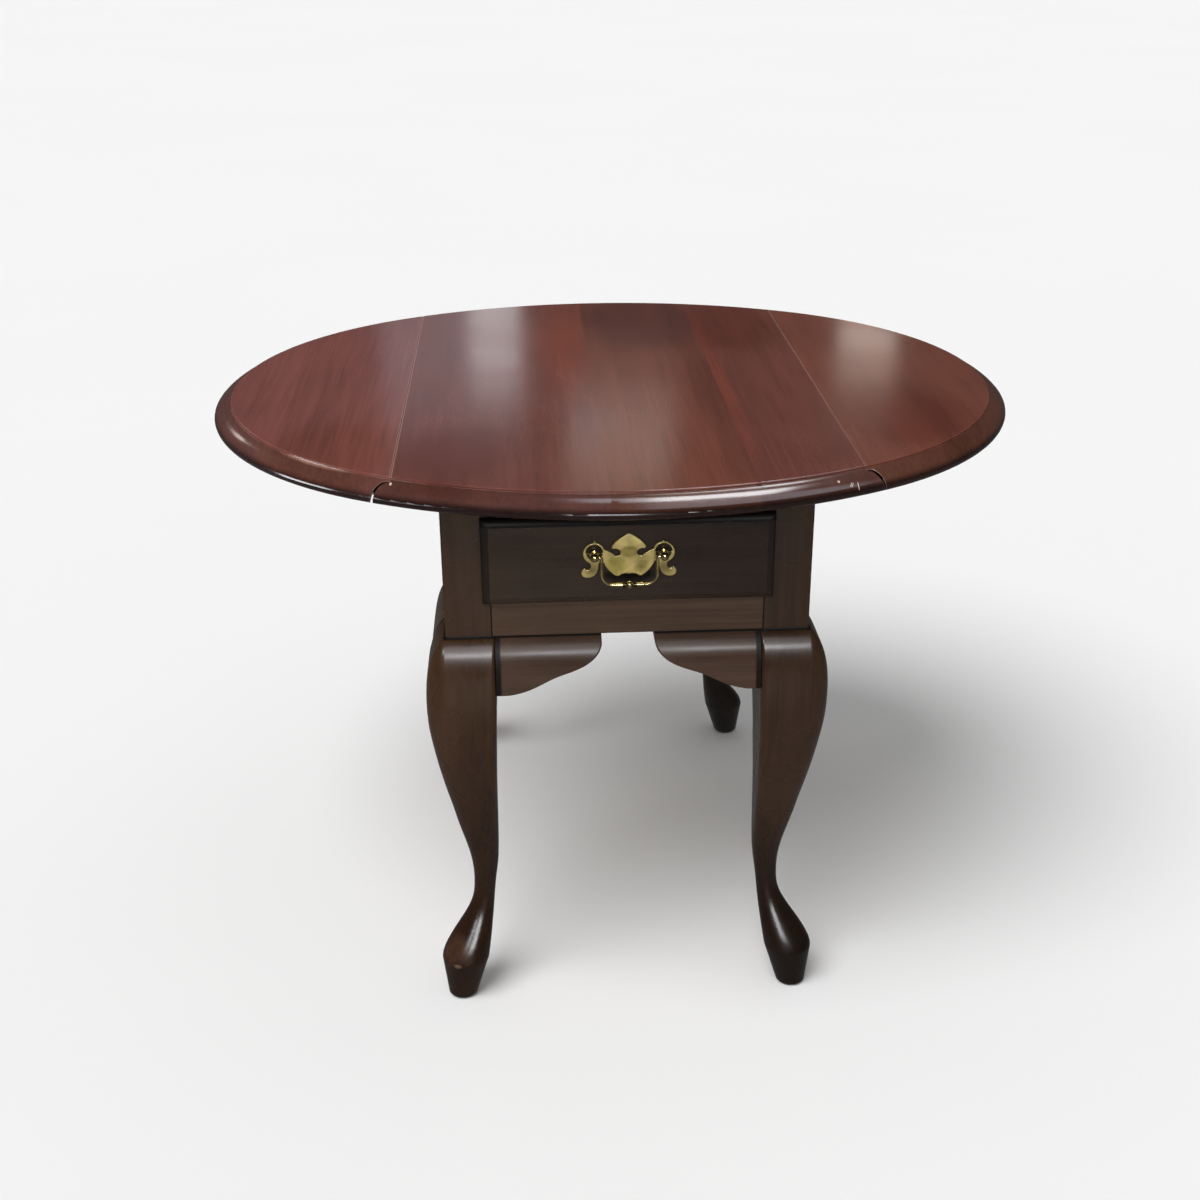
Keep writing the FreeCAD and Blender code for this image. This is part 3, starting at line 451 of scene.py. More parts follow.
class NearPlane(Group):
    """Share of the surface close to a plane, such as a joint between two pieces."""

    name = "near_plane"
    inputs = (("Place", "NodeSocketVector", None), ("Axis", "NodeSocketVector", None),
              ("At", "NodeSocketFloat", 0.0), ("Width", "NodeSocketFloat", 0.001))
    outputs = (("Share", "NodeSocketFloat"),)
    core = 0.55

    @classmethod
    def fill(cls, graph: Graph, given: Outputs) -> dict[str, Socket]:
        """Fade over a width on both sides of the plane.

        Args:
            graph: helper on the group's tree.
            given: the group's inputs.

        Returns:
            What feeds each output, by name.
        """
        along = graph.vector("DOT_PRODUCT", {0: given["Place"], 1: given["Axis"]}, "Value")
        away = graph.math("ABSOLUTE", graph.math("SUBTRACT", along, given["At"]))
        return {"Share": graph.remap(graph.math("DIVIDE", away, given["Width"]), cls.core, 1.0, 1.0, 0.0)}


@dataclass(frozen=True)
class Knock:
    """One place where the finish is chipped to pale wood."""

    centre: Place
    extent: Place
    lean: float = 0.0


@dataclass(frozen=True)
class Spot:
    """One patch that is darker or lighter: its place, its size, its tint and its even core."""

    centre: Place
    extent: Place
    tint: Colour
    core: float = 0.4

    def tone(self, graph: Graph, place: Socket, colour: Socket) -> Socket:
        """Tint a colour within the patch.

        Args:
            graph: helper on the material's tree.
            place: socket with the place.
            colour: socket with the colour.

        Returns:
            The tinted colour's socket.
        """
        values = {"Place": place, "Centre": self.centre, "Extent": self.extent, "Core": self.core}
        return graph.blend(SoftSpot.use(graph, values)["Share"], colour, self.tint, "MULTIPLY")


@dataclass(frozen=True)
class Shade:
    """Painted shade below a level: where it is full, where it ends, and its tint."""

    low: float
    high: float
    tint: Colour


@dataclass(frozen=True)
class Joint:
    """Plane where a piece meets its neighbour.

    Its axis and place, how far it shows, the share of the tone left in it, and how rubbed it is.
    """

    axis: Place
    at: float
    width: float
    left: float = 0.12
    wear: float = 0.42

    def share(self, graph: Graph, place: Socket) -> Socket:
        """Mask of the surface near the joint.

        Args:
            graph: helper on the material's tree.
            place: socket with the place.

        Returns:
            The mask's socket.
        """
        values = {"Place": place, "Axis": self.axis, "At": self.at, "Width": self.width}
        return NearPlane.use(graph, values)["Share"]


@dataclass(frozen=True)
class Finish:
    """Base of the finishes, each a material that is built once."""

    name: str

    def material(self) -> bpy.types.Material:
        """Find the material, or build it the first time.

        Returns:
            The material of this finish.
        """
        found = bpy.data.materials.get(self.name)
        if found:
            return found
        made = bpy.data.materials.new(self.name)
        made.use_nodes = True
        graph = Graph(made.node_tree)
        shader = next(node for node in made.node_tree.nodes if node.type == "BSDF_PRINCIPLED")
        for label, value in self.paint(graph).items():
            graph.put(shader, label, value)
        return made

    def paint(self, graph: Graph) -> dict[str, Value]:
        """Build the finish's own nodes.

        Args:
            graph: helper on the material's tree.

        Returns:
            What feeds each input of the shader, by name.
        """
        raise NotImplementedError


@dataclass(frozen=True)
class StainedWood(Finish):
    """Stained and lacquered hardwood."""

    tone: Colour
    grain: Grain = Grain.ALONG_X
    seed: float = 0.0
    contrast: float = 0.32
    rubbed: Colour = (0.41, 0.215, 0.185)
    rub: float = 0.75
    gloss: float = 0.15
    gloss_range: float = 0.03
    raw_below: bool = False
    raw_gloss: float = 0.9
    raw_facing: Range = (-0.995, -0.95)
    specular: float = 0.5
    band_width: float = 0.055
    figure_stops: tuple[float, float, float] = (0.32, 0.50, 0.70)
    pore_depth: float = 0.06
    pore_tint: float = -1.6
    cloud_share: float = 0.30
    cloud_tint: float = 0.8
    shades: tuple[Shade, ...] = ()
    spots: tuple[Spot, ...] = ()
    glued: tuple[Joint, ...] = ()
    worn: tuple[Joint, ...] = ()
    worn_above: float = 0.5732
    worn_fade: float = 0.6 * MM
    crevices: tuple[Joint, ...] = ()
    crevice_gloss: float = 0.5
    knocks: tuple[Knock, ...] = ()
    bare: Colour = (0.66, 0.55, 0.45)
    bump: Range = (0.04, 0.05 * MM)

    def tinted(self, share: float) -> Colour:
        """The tone made lighter or darker by a share of the contrast."""
        return tuple(value * (1.0 + share * self.contrast) for value in self.tone)

    def paint(self, graph: Graph) -> dict[str, Value]:
        """Grain and clouds, with painted shade, patches, wear, joints and knocks over them.

        Args:
            graph: helper on the material's tree.

        Returns:
            What feeds each input of the shader, by name.
        """
        place = graph.add("ShaderNodeTexCoord").outputs["Object"]
        shift = tuple(self.seed * share for share in SEED_SHARES)
        turns = {"Vector": place, "Location": shift, "Rotation": self.grain.value}
        turned = graph.add("ShaderNodeMapping", turns).outputs[0]
        grain = WoodGrain.use(graph, {"Place": turned, "Band Width": self.band_width})
        film = HandledFilm.use(graph, {"Place": place})
        edges = SoftEdges.use(graph, {"Place": place})
        ramp = graph.add("ShaderNodeValToRGB", {"Fac": grain["Figure"]})
        tones = (self.tinted(-1.0), self.tone, self.tinted(1.0))
        fill_ramp(ramp, tuple(zip(self.figure_stops, tones)))
        pores = graph.math("MULTIPLY", grain["Pores"], self.pore_depth)
        colour = graph.blend(pores, ramp.outputs[0], self.tinted(self.pore_tint))
        tint = graph.remap(film["Clouds"], 0.30, 0.70, 0.0, self.cloud_share)
        colour = graph.blend(tint, colour, self.tinted(self.cloud_tint))
        # painted shade below each level
        for shade in self.shades:
            values = {"Place": place, "Low": shade.low, "High": shade.high}
            colour = graph.blend(LowShade.use(graph, values)["Share"], colour, shade.tint, "MULTIPLY")
        for spot in self.spots:
            colour = spot.tone(graph, place, colour)
        normal = edges["Normal"]
        rubbed = graph.math("MULTIPLY", edges["Rubbed"], self.rub)
        flat = graph.add("ShaderNodeNewGeometry").outputs["Normal"]
        for joint in self.glued:
            share = joint.share(graph, place)
            rubbed = graph.math("MULTIPLY", rubbed, graph.math("SUBTRACT", 1.0, share))
            mixed = {0: share, 4: normal, 5: flat}
            normal = graph.add("ShaderNodeMix", mixed, data_type="VECTOR").outputs[1]
        for joint in self.worn:
            values = {"Place": place, "Low": self.worn_above, "High": self.worn_above + self.worn_fade}
            share = graph.math("SUBTRACT", joint.share(graph, place), LowShade.use(graph, values)["Share"])
            rubbed = graph.math("MAXIMUM", rubbed, graph.math("MULTIPLY", share, joint.wear))
        colour = graph.blend(rubbed, colour, self.rubbed)
        rough = graph.remap(film["Clouds"], 0.25, 0.75, self.gloss, self.gloss + self.gloss_range)
        if self.raw_below:
            facing = graph.add("ShaderNodeTexCoord").outputs["Normal"]
            rise = graph.add("ShaderNodeSeparateXYZ", {0: facing}).outputs["Z"]
            raw = graph.remap(rise, *self.raw_facing, self.raw_gloss, 0.0)
            rough = graph.math("MAXIMUM", rough, raw)
        for joint in self.crevices:
            share = joint.share(graph, place)
            colour = graph.blend(share, colour, tuple(value * joint.left for value in self.tone))
            rough = graph.math("MAXIMUM", rough, graph.math("MULTIPLY", share, self.crevice_gloss))
        for knock in self.knocks:
            values = {"Place": place, "Centre": knock.centre, "Extent": knock.extent, "Lean": knock.lean}
            colour = graph.blend(BareSpot.use(graph, values)["Mask"], colour, self.bare)
        bump = raised(graph, grain["Height"], normal, self.bump)
        return {"Base Color": colour, "Roughness": rough, "Normal": bump,
                "Specular IOR Level": self.specular}


@dataclass(frozen=True)
class PlainWood(Finish):
    """Unstained wood inside the case and the drawer."""

    dark: Colour
    light: Colour
    grain: Grain = Grain.ALONG_Y
    roughness: float = 0.62
    roughness_range: float = 0.08
    band_width: float = 0.03
    figure_stops: Range = (0.28, 0.74)
    pore_depth: float = 0.35
    cloud_size: float = 0.2
    cloud_share: float = 0.3
    seed: float = 0.0
    bump: Range = (0.2, 0.1 * MM)

    def paint(self, graph: Graph) -> dict[str, Value]:
        """Grain between two tones, with darker clouds.

        Args:
            graph: helper on the material's tree.

        Returns:
            What feeds each input of the shader, by name.
        """
        place = graph.add("ShaderNodeTexCoord").outputs["Object"]
        shift = (self.seed, self.seed, self.seed)
        turns = {"Vector": place, "Location": shift, "Rotation": self.grain.value}
        turned = graph.add("ShaderNodeMapping", turns).outputs[0]
        grain = WoodGrain.use(graph, {"Place": turned, "Band Width": self.band_width})
        film = HandledFilm.use(graph, {"Place": place, "Cloud Size": self.cloud_size})
        edges = SoftEdges.use(graph, {"Place": place})
        ramp = graph.add("ShaderNodeValToRGB", {"Fac": grain["Figure"]})
        fill_ramp(ramp, tuple(zip(self.figure_stops, (self.dark, self.light))))
        pores = graph.math("MULTIPLY", grain["Pores"], self.pore_depth)
        colour = graph.blend(pores, ramp.outputs[0], self.dark)
        tint = graph.remap(film["Clouds"], 0.5, 0.8, 0.0, self.cloud_share)
        colour = graph.blend(tint, colour, self.dark)
        least = self.roughness - self.roughness_range
        rough = graph.remap(film["Clouds"], 0.2, 0.8, least, self.roughness + self.roughness_range)
        bump = raised(graph, grain["Height"], edges["Normal"], self.bump)
        return {"Base Color": colour, "Roughness": rough, "Normal": bump}


@dataclass(frozen=True)
class AgedMetal(Finish):
    """Metal with tarnish in clouds and bright rubbed edges."""

    clean: Colour
    tarnished: Colour
    bright: Colour
    roughness: float = 0.28
    roughness_range: Range = (0.05, 0.14)
    tarnish: float = 0.5
    cloud_size: float = 0.012
    rub_width: float = 0.9 * MM
    brushed: Range = (60.0, 1500.0)
    bump: Range = (0.06, 0.05 * MM)
    spots: tuple[Spot, ...] = ()

    def paint(self, graph: Graph) -> dict[str, Value]:
        """Tarnish in clouds, bright edges and faint brushed lines.

        Args:
            graph: helper on the material's tree.

        Returns:
            What feeds each input of the shader, by name.
        """
        place = graph.add("ShaderNodeTexCoord").outputs["Object"]
        film = HandledFilm.use(graph, {"Place": place, "Cloud Size": self.cloud_size})
        edges = SoftEdges.use(graph, {"Place": place, "Rub Width": self.rub_width})
        stain = graph.remap(film["Clouds"], 0.42, 0.72, 0.0, self.tarnish)
        colour = graph.blend(stain, self.clean, self.tarnished)
        colour = graph.blend(edges["Rubbed"], colour, self.bright)
        for spot in self.spots:
            colour = spot.tone(graph, place, colour)
        least = self.roughness - self.roughness_range[0]
        rough = graph.remap(film["Clouds"], 0.3, 0.75, least, self.roughness + self.roughness_range[1])
        lines = graph.noise(graph.stretch(place, *self.brushed), 1.0, 1.0)
        bump = raised(graph, lines, edges["Normal"], self.bump)
        return {"Base Color": colour, "Roughness": rough, "Normal": bump, "Metallic": 1.0}


@dataclass(frozen=True)
class FloorPaint(Finish):
    """Plain pale floor with a trace of unevenness."""

    low: Colour
    high: Colour
    cloud_size: float = 1.5
    roughness: float = 0.9

    def paint(self, graph: Graph) -> dict[str, Value]:
        """Slow clouds between two tones.

        Args:
            graph: helper on the material's tree.

        Returns:
            What feeds each input of the shader, by name.
        """
        place = graph.add("ShaderNodeTexCoord").outputs["Object"]
        film = HandledFilm.use(graph, {"Place": place, "Cloud Size": self.cloud_size})
        colour = graph.blend(film["Clouds"], self.low, self.high)
        return {"Base Color": colour, "Roughness": self.roughness, "Specular IOR Level": 0.0}


def raised(graph: Graph, height: Socket, normal: Socket, bump: Range) -> Socket:
    """Roughen a normal by a height.

    Args:
        graph: helper on the material's tree.
        height: socket with the height.
        normal: socket with the normal.
        bump: strength and depth.

    Returns:
        The roughened normal's socket.
    """
    values = {"Height": height, "Normal": normal, "Strength": bump[0], "Distance": bump[1]}
    return graph.add("ShaderNodeBump", values).outputs[0]


def fill_ramp(ramp: bpy.types.Node, stops: tuple[tuple[float, Colour], ...]) -> None:
    """Set the stops of a colour ramp.

    Args:
        ramp: the ramp's node.
        stops: place and colour of each stop.
    """
    elements = ramp.color_ramp.elements
    while len(elements) < len(stops):
        elements.new(0.5)
    for element, (at, colour) in zip(elements, stops):
        element.position = at
        element.color = (*colour, 1.0)


def dress(names: Iterable[str], material: bpy.types.Material) -> None:
    """Give nodes of the frame a material.

    Args:
        names: the nodes.
        material: their finish.
    """
    for name in names:
        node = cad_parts[name]
        node.data.materials.clear()
        node.data.materials.append(material)
        log.info("dressed %s in %s", name, material.name)


def as_piece(mesh: bmesh.types.BMesh, name: str, material: bpy.types.Material) -> bpy.types.Object:
    """Turn a finished shape into an object at the origin.

    Args:
        mesh: the shape, in place.
        name: the object's name.
        material: its finish.

    Returns:
        The new object.
    """
    data = bpy.data.meshes.new(name)
    mesh.to_mesh(data)
    mesh.free()
    stale = data.attributes.get("custom_normal")
    if stale:
        data.attributes.remove(stale)
    data.materials.append(material)
    piece = bpy.data.objects.new(name, data)
    bpy.context.scene.collection.objects.link(piece)
    log.info("built %s with %d faces", name, len(data.polygons))
    return piece


def sides(name: str) -> list[str]:
    """Names of a left and right pair."""
    return [name + "_left", name + "_right"]


RAW_WOOD = PlainWood("inner_wood", (0.30, 0.185, 0.10), (0.52, 0.36, 0.215))
RAW_ACROSS = replace(RAW_WOOD, name="inner_wood_across", grain=Grain.ALONG_X, seed=2.0)
PANEL_WOOD = PlainWood("panel_wood", (0.36, 0.245, 0.145), (0.58, 0.43, 0.28), Grain.ALONG_X, seed=5.0)
BRASS = AgedMetal("brass", (0.87, 0.73, 0.30), (0.50, 0.40, 0.15), (0.95, 0.82, 0.44), roughness=0.30)
BEAD_GROOVES = tuple(Spot((side * 0.0046, -0.290, 0.4660), (0.0024, 0.02, 0.01), (0.10, 0.09, 0.08), 0.6)
                     for side in (-1.0, 1.0))
# A darker copy of the brass for the posts and bail: partly tarnish, partly painted shade for the dark
# surroundings they reflect.
SHADED_OLD_BRASS = AgedMetal("brass_bail", (0.62, 0.50, 0.25), (0.22, 0.17, 0.09), (0.90, 0.80, 0.52),
                      roughness=0.20, tarnish=0.8, spots=BEAD_GROOVES)
STEEL = AgedMetal("steel", (0.42, 0.40, 0.37), (0.16, 0.12, 0.09), (0.62, 0.60, 0.56), roughness=0.38,
                  cloud_size=0.02)


@dataclass
class TableTop:
    """The three glued boards, the two leaves and their hinges."""

    tones: dict[str, Colour] = field(default_factory=lambda: {
        "top_board_left": (0.155, 0.048, 0.038), "top_board_middle": (0.165, 0.049, 0.030),
        "top_board_right": (0.145, 0.044, 0.032), "leaf_left": (0.202, 0.066, 0.056),
        "leaf_right": (0.165, 0.050, 0.031)})
    # Painted shade: the moulding below the step is darkened, and the nose below it much darker, where
    # shade falls.
    edges: tuple[Shade, ...] = (Shade(0.5718, 0.5734, (0.58, 0.70, 0.70)),
                                Shade(0.5597, 0.5662, (0.20, 0.20, 0.22)))
    glue_lines: tuple[Joint, ...] = (Joint(X_AXIS, -0.020, 0.003), Joint(X_AXIS, 0.110, 0.003))
    seams: tuple[Joint, ...] = (Joint(X_AXIS, -0.2105, 0.0015, wear=0.7),
                                Joint(X_AXIS, 0.2105, 0.0011))
    # The darker patches on the boards and leaves are painted shade; the strips along the glue lines are
    # tone.
    spots: dict[str, tuple[Spot, ...]] = field(default_factory=lambda: {
        "top_board_left": (Spot((-0.16, -0.24, 0.575), (0.07, 0.12, 0.05), (0.76, 0.62, 0.56)),
                           Spot((-0.038, 0.14, 0.575), (0.05, 0.28, 0.05), (1.22, 0.98, 0.70), 0.2)),
        "top_board_middle": (Spot((0.05, 0.25, 0.575), (0.11, 0.20, 0.05), (0.58, 0.55, 0.62)),
                             Spot((0.105, -0.05, 0.575), (0.030, 0.30, 0.05), (0.78, 0.76, 0.78), 0.1)),
        "top_board_right": (Spot((0.15, 0.22, 0.575), (0.08, 0.17, 0.05), (0.76, 0.58, 0.48)),
                            Spot((0.114, 0.0, 0.575), (0.016, 0.36, 0.05), (1.30, 1.06, 0.86), 0.1)),
        "leaf_left": (Spot((-0.27, -0.22, 0.575), (0.10, 0.12, 0.05), (0.90, 0.82, 0.66)),
                      # painted highlight: a thin bright line along the left leaf's step
                      Spot((-0.285, -0.240, 0.5722), (0.055, 0.055, 0.0010), (3.0, 4.2, 4.6), 0.2)),
        "leaf_right": (Spot((0.28, -0.14, 0.575), (0.09, 0.14, 0.05), (0.78, 0.60, 0.52)),)})
    knocks: dict[str, tuple[Knock, ...]] = field(default_factory=lambda: {
        "top_board_right": (Knock((0.1932, -0.3110, 0.5655), (0.0004, 0.0030, 0.0022), 0.7),
                            Knock((0.1949, -0.3110, 0.5655), (0.0004, 0.0030, 0.0022), 0.7),
                            Knock((0.2003, -0.3100, 0.5640), (0.0004, 0.0040, 0.0046), -0.15),
                            Knock((0.1822, -0.3115, 0.5689), (0.0012, 0.0016, 0.0012))),
        "top_board_left": (Knock((-0.2102, -0.2946, 0.5708), (0.0012, 0.0022, 0.0020)),)})
    seeds: Range = (3.1, 4.7)

    def dress(self) -> None:
        """Stain each board by itself, and dull the hinges and screws."""
        for index, (name, tone) in enumerate(self.tones.items()):
            seed = self.seeds[0] + self.seeds[1] * index
            wood = StainedWood("top_wood_" + name, tone, Grain.ALONG_Y, seed, shades=self.edges,
                               spots=self.spots[name], glued=self.glue_lines, worn=self.seams,
                               knocks=self.knocks.get(name, ()), raw_below=True)
            dress([name], wood.material())
        dress(["hinge_top_flaps", "hinge_pins", "hinge_screws_top", "top_screws"], STEEL.material())
        dress(sides("hinge_leaf_flaps") + sides("hinge_screws"), STEEL.material())


@dataclass
class Case:
    """Posts and legs, knee brackets, rails, aprons and the fly rails."""

    # The left legs are lighter and the right legs darker: painted light from the left.
    leg_lit_and_shaded_tones: tuple[Colour, Colour] = ((0.051, 0.0238, 0.0108), (0.0425, 0.0203, 0.0102))
    bracket_tone: Colour = (0.066, 0.038, 0.0260)
    # The side brackets get a lighter tone: painted light from the bright room they face.
    side_bracket_lit_tone: Colour = (0.105, 0.070, 0.0470)
    rail_tone: Colour = (0.082, 0.048, 0.0310)
    # The rail over the drawer is made dark: painted shade under the top.
    top_rail_shade_tone: Colour = (0.022, 0.014, 0.0110)
    side_tone: Colour = (0.046, 0.025, 0.0160)
    # Darker towards the feet, the right legs the most: painted shade.
    painted_foot_shades: tuple[Shade, Shade] = (Shade(0.10, 0.36, (0.46, 0.40, 0.37)),
                                 Shade(0.04, 0.28, (0.28, 0.26, 0.25)))
    # The larger patch is a painted sheen on the left front foot's pad; the small one is a pale mark on the
    # toe's rim.
    foot_sheen_and_toe_mark: tuple[Spot, ...] = (
        Spot((-0.176, -0.278, 0.057), (0.022, 0.024, 0.020), (2.4, 2.7, 3.6)),
        Spot((-0.1748, -0.2885, 0.0445), (0.0052, 0.0060, 0.0028), (4.2, 6.4, 7.6)))
    bracket_joint: Range = (0.1238, 0.2228)
    rail_joint: float = 0.128
    knee_top: float = 0.4078
    crevice: float = 5.0 * MM
    line: float = 1.4 * MM
    leg_specular: float = 0.44
    leg_seeds: Range = (31.0, 2.3)
    front_seeds: Range = (47.0, 1.9)
    side_seeds: Range = (61.0, 1.9)
    rail_seeds: Range = (73.0, 3.1)
    top_rail_seed: float = 79.0
    apron_seed: float = 83.0
    rubbed: Colour = (0.10, 0.058, 0.040)

    def wood(self, name: str, tone: Colour, grain: Grain, seed: float, crevices: tuple[Joint, ...] = (),
             spots: tuple[Spot, ...] = (), specular: float = 0.19) -> StainedWood:
        """Darker stain of the case and legs, with painted shade towards the feet.

        Args:
            name: what the wood is on.
            tone: its middle colour.
            grain: which way it runs.
            seed: where in the tree the piece was cut.
            crevices: joints that show as dark lines.
            spots: patches that are darker or lighter.
            specular: how strongly its lacquer shines.

        Returns:
            The finish.
        """
        return StainedWood("base_wood_" + name, tone, grain, seed, contrast=0.42, rubbed=self.rubbed,
                           rub=0.4, gloss=0.22, gloss_range=0.08, specular=specular, band_width=0.035,
                           pore_depth=0.12, shades=(self.painted_foot_shades["right" in name],), spots=spots,
                           crevices=crevices)

    def across(self, name: str) -> Joint:
        """Joint of a front or back bracket with its post."""
        side = -1.0 if name.endswith("left") else 1.0
        return Joint(X_AXIS, self.bracket_joint[0] * side, self.crevice)

    def along(self, name: str) -> Joint:
        """Joint of a side bracket with its post."""
        side = -1.0 if "front" in name else 1.0
        return Joint(Y_AXIS, self.bracket_joint[1] * side, self.crevice)

    def above(self, name: str) -> Joint:
        """Joint of a piece with the rail over it."""
        return Joint(Z_AXIS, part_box(name)[1].z, self.line)

    def dress(self) -> None:
        """Stain every piece along its own grain."""
        for index, name in enumerate(sides("leg_front") + sides("leg_back")):
            ledge = (Joint(Z_AXIS, self.knee_top, self.line),)
            seed = self.leg_seeds[0] + self.leg_seeds[1] * index
            wood = self.wood(name, self.leg_lit_and_shaded_tones[index % 2], Grain.ALONG_Z, seed, ledge, self.foot_sheen_and_toe_mark,
                             self.leg_specular)
            dress([name], wood.material())
        for index, name in enumerate(sides("knee_bracket_front") + sides("knee_bracket_back")):
            joints = (self.across(name), self.above(name))
            seed = self.front_seeds[0] + self.front_seeds[1] * index
            wood = self.wood(name, self.bracket_tone, Grain.ALONG_X, seed, joints)
            dress([name], wood.material())
        for index, name in enumerate(sides("knee_bracket_side_front") + sides("knee_bracket_side_back")):
            joints = (self.along(name), self.above(name))
            seed = self.side_seeds[0] + self.side_seeds[1] * index
            wood = self.wood(name, self.side_bracket_lit_tone, Grain.ALONG_Y, seed, joints)
            dress([name], wood.material())
        ends = tuple(Joint(X_AXIS, side * self.rail_joint, self.line) for side in (-1.0, 1.0))
        for index, name in enumerate(("rail_front_bottom", "apron_back")):
            seed = self.rail_seeds[0] + self.rail_seeds[1] * index
            dress([name], self.wood(name, self.rail_tone, Grain.ALONG_X, seed, ends).material())
        top_rail = self.wood("rail_top", self.top_rail_shade_tone, Grain.ALONG_X, self.top_rail_seed)
        dress(["rail_front_top"], top_rail.material())
        along = self.wood("sides", self.side_tone, Grain.ALONG_Y, self.apron_seed)
        for name in ("apron", "side_facing", "fly_block", "fly_bracket", "fly_end"):
            dress(sides(name), along.material())
        dress(sides("runner") + sides("guide") + sides("kicker"), RAW_WOOD.material())
        dress(["fly_pins"], STEEL.material())


@dataclass
class Drawer:
    """The lipped drawer and its box."""

    front_tone: Colour = (0.042, 0.0270, 0.0185)
    front_seed: float = 91.0
    # The lip's edges at the sides and top are darkened: painted shade.
    lip_shade: tuple[Joint, ...] = (Joint(X_AXIS, -0.1318, 0.0052, 0.55),
                              Joint(X_AXIS, 0.1318, 0.0046, 0.60),
                              Joint(Z_AXIS, 0.5238, 0.0052, 0.30))
    # Painted shadow of the pull on the front below the plate, and painted shade over the right half.
    spots: tuple[Spot, ...] = (Spot((0.0, -0.279, 0.4710), (0.028, 0.02, 0.0105), (0.22, 0.20, 0.20), 0.6),
                               Spot((0.13, -0.279, 0.49), (0.16, 0.02, 0.09), (0.70, 0.64, 0.76)))

    def dress(self) -> None:
        """Stain the front, with painted shade and shadow on it; leave the box plain."""
        front = Case().wood("drawer_front", self.front_tone, Grain.ALONG_X, self.front_seed, self.lip_shade,
                            self.spots)
        dress(["drawer_front"], front.material())
        dress(sides("drawer_side"), RAW_WOOD.material())
        dress(["drawer_back"], RAW_ACROSS.material())
        dress(["drawer_bottom"], PANEL_WOOD.material())
        dress(["drawer_screws"], STEEL.material())


@dataclass
class Pull:
    """Bat-wing plate, posts and bail."""

    rim_width: float = 0.45 * MM
    rim_drop: float = 0.50 * MM
    same_point: float = 0.001 * MM
    flat: float = 0.01 * MM
    # Painted light and shade for the plate's relief: a brighter cap, a shaded neck and hollows, dark
    # recesses round the posts and shaded wings below them.
    painted_relief_shading: tuple[Spot, ...] = (
        Spot((0.0, -0.281, 0.5065), (0.0170, 0.02, 0.0080), (1.20, 1.22, 1.26), 0.6),
        Spot((0.0, -0.281, 0.4950), (0.0105, 0.02, 0.0064), (0.64, 0.64, 0.50), 0.6),
        Spot((-0.0115, -0.281, 0.4820), (0.0115, 0.02, 0.0105), (0.80, 0.84, 0.62), 0.6),
        Spot((0.0088, -0.281, 0.4780), (0.0060, 0.02, 0.0050), (0.76, 0.78, 0.66), 0.5),
        Spot((0.0136, -0.281, 0.4822), (0.0064, 0.02, 0.0052), (0.74, 0.77, 0.64), 0.5),
        Spot((-0.0316, -0.281, 0.4945), (0.0082, 0.02, 0.0082), (0.10, 0.09, 0.10), 0.85),
        Spot((0.0316, -0.281, 0.4945), (0.0082, 0.02, 0.0082), (0.10, 0.09, 0.10), 0.85),
        Spot((-0.0340, -0.281, 0.4800), (0.0095, 0.02, 0.0095), (0.48, 0.46, 0.50), 0.2),
        Spot((0.0340, -0.281, 0.4800), (0.0095, 0.02, 0.0095), (0.48, 0.46, 0.50), 0.2))

    def build(self) -> bpy.types.Object:
        """Make the plate again with a bevelled rim round its front.

        Returns:
            The plate, in place of the flat one.
        """
        low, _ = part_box("handle_plate")
        mesh = bmesh.new()
        mesh.from_mesh(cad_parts["handle_plate"].data)
        bmesh.ops.remove_doubles(mesh, verts=mesh.verts, dist=self.same_point)
        front = [face for face in mesh.faces if all(abs(v.co.y - low.y) < self.flat for v in face.verts)]
        inset = bmesh.ops.inset_region(mesh, faces=front, thickness=self.rim_width, use_even_offset=True)
        inner = {v for face in front for v in face.verts}
        outer = {v for face in inset["faces"] for v in face.verts} - inner
        bmesh.ops.translate(mesh, verts=list(outer), vec=Vector((0.0, self.rim_drop, 0.0)))
        for face in mesh.faces:
            face.smooth = False
        brass = replace(BRASS, name="brass_plate", spots=self.painted_relief_shading)
        return as_piece(mesh, "pull_plate", brass.material())

    def dress(self) -> None:
        """Give the pull its brass, and the nuts their steel."""
        plate = self.build()
        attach(plate, "drawer")
        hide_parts("handle_plate")
        dress(["handle_posts", "bail"], SHADED_OLD_BRASS.material())
        dress(["handle_nuts"], STEEL.material())


class Lit(Enum):
    """Which pieces a light falls on."""

    ALL = "all pieces"
    TOP = "boards and leaves"
    CASE = "all but boards and leaves"

    def pieces(self) -> bpy.types.Collection:
        """Collection that tells a light what it falls on.

        Returns:
            The collection, made on first use.
        """
        name = "lit_" + self.name.lower()
        if name not in bpy.data.collections:
            pieces = bpy.data.collections.new(name)
            for board in TableTop().tones:
                pieces.objects.link(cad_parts[board])
            state = "INCLUDE" if self is Lit.TOP else "EXCLUDE"
            for member in pieces.collection_objects:
                member.light_linking.link_state = state
        return bpy.data.collections[name]


@dataclass(frozen=True)
class Panel:
    """One soft rectangular light that shows in the gloss of the finish."""

    name: str
    at: Place
    toward: Place
    width: float
    height: float
    radiance: float
    colour: Colour = (0.95, 0.97, 1.0)
    lit: Lit = Lit.ALL

    def light(self) -> None:
        """Hang the light in the scene."""
        data = bpy.data.lights.new(self.name, "AREA")
        data.shape = "RECTANGLE"
        data.size = self.width
        data.size_y = self.height
        data.energy = self.radiance * math.pi * self.width * self.height
        data.color = self.colour
        lamp = hang(data, Vector(self.at), Vector(self.toward), Reach.GLOSS)
        if self.lit is not Lit.ALL:
            lamp.light_linking.receiver_collection = self.lit.pieces()


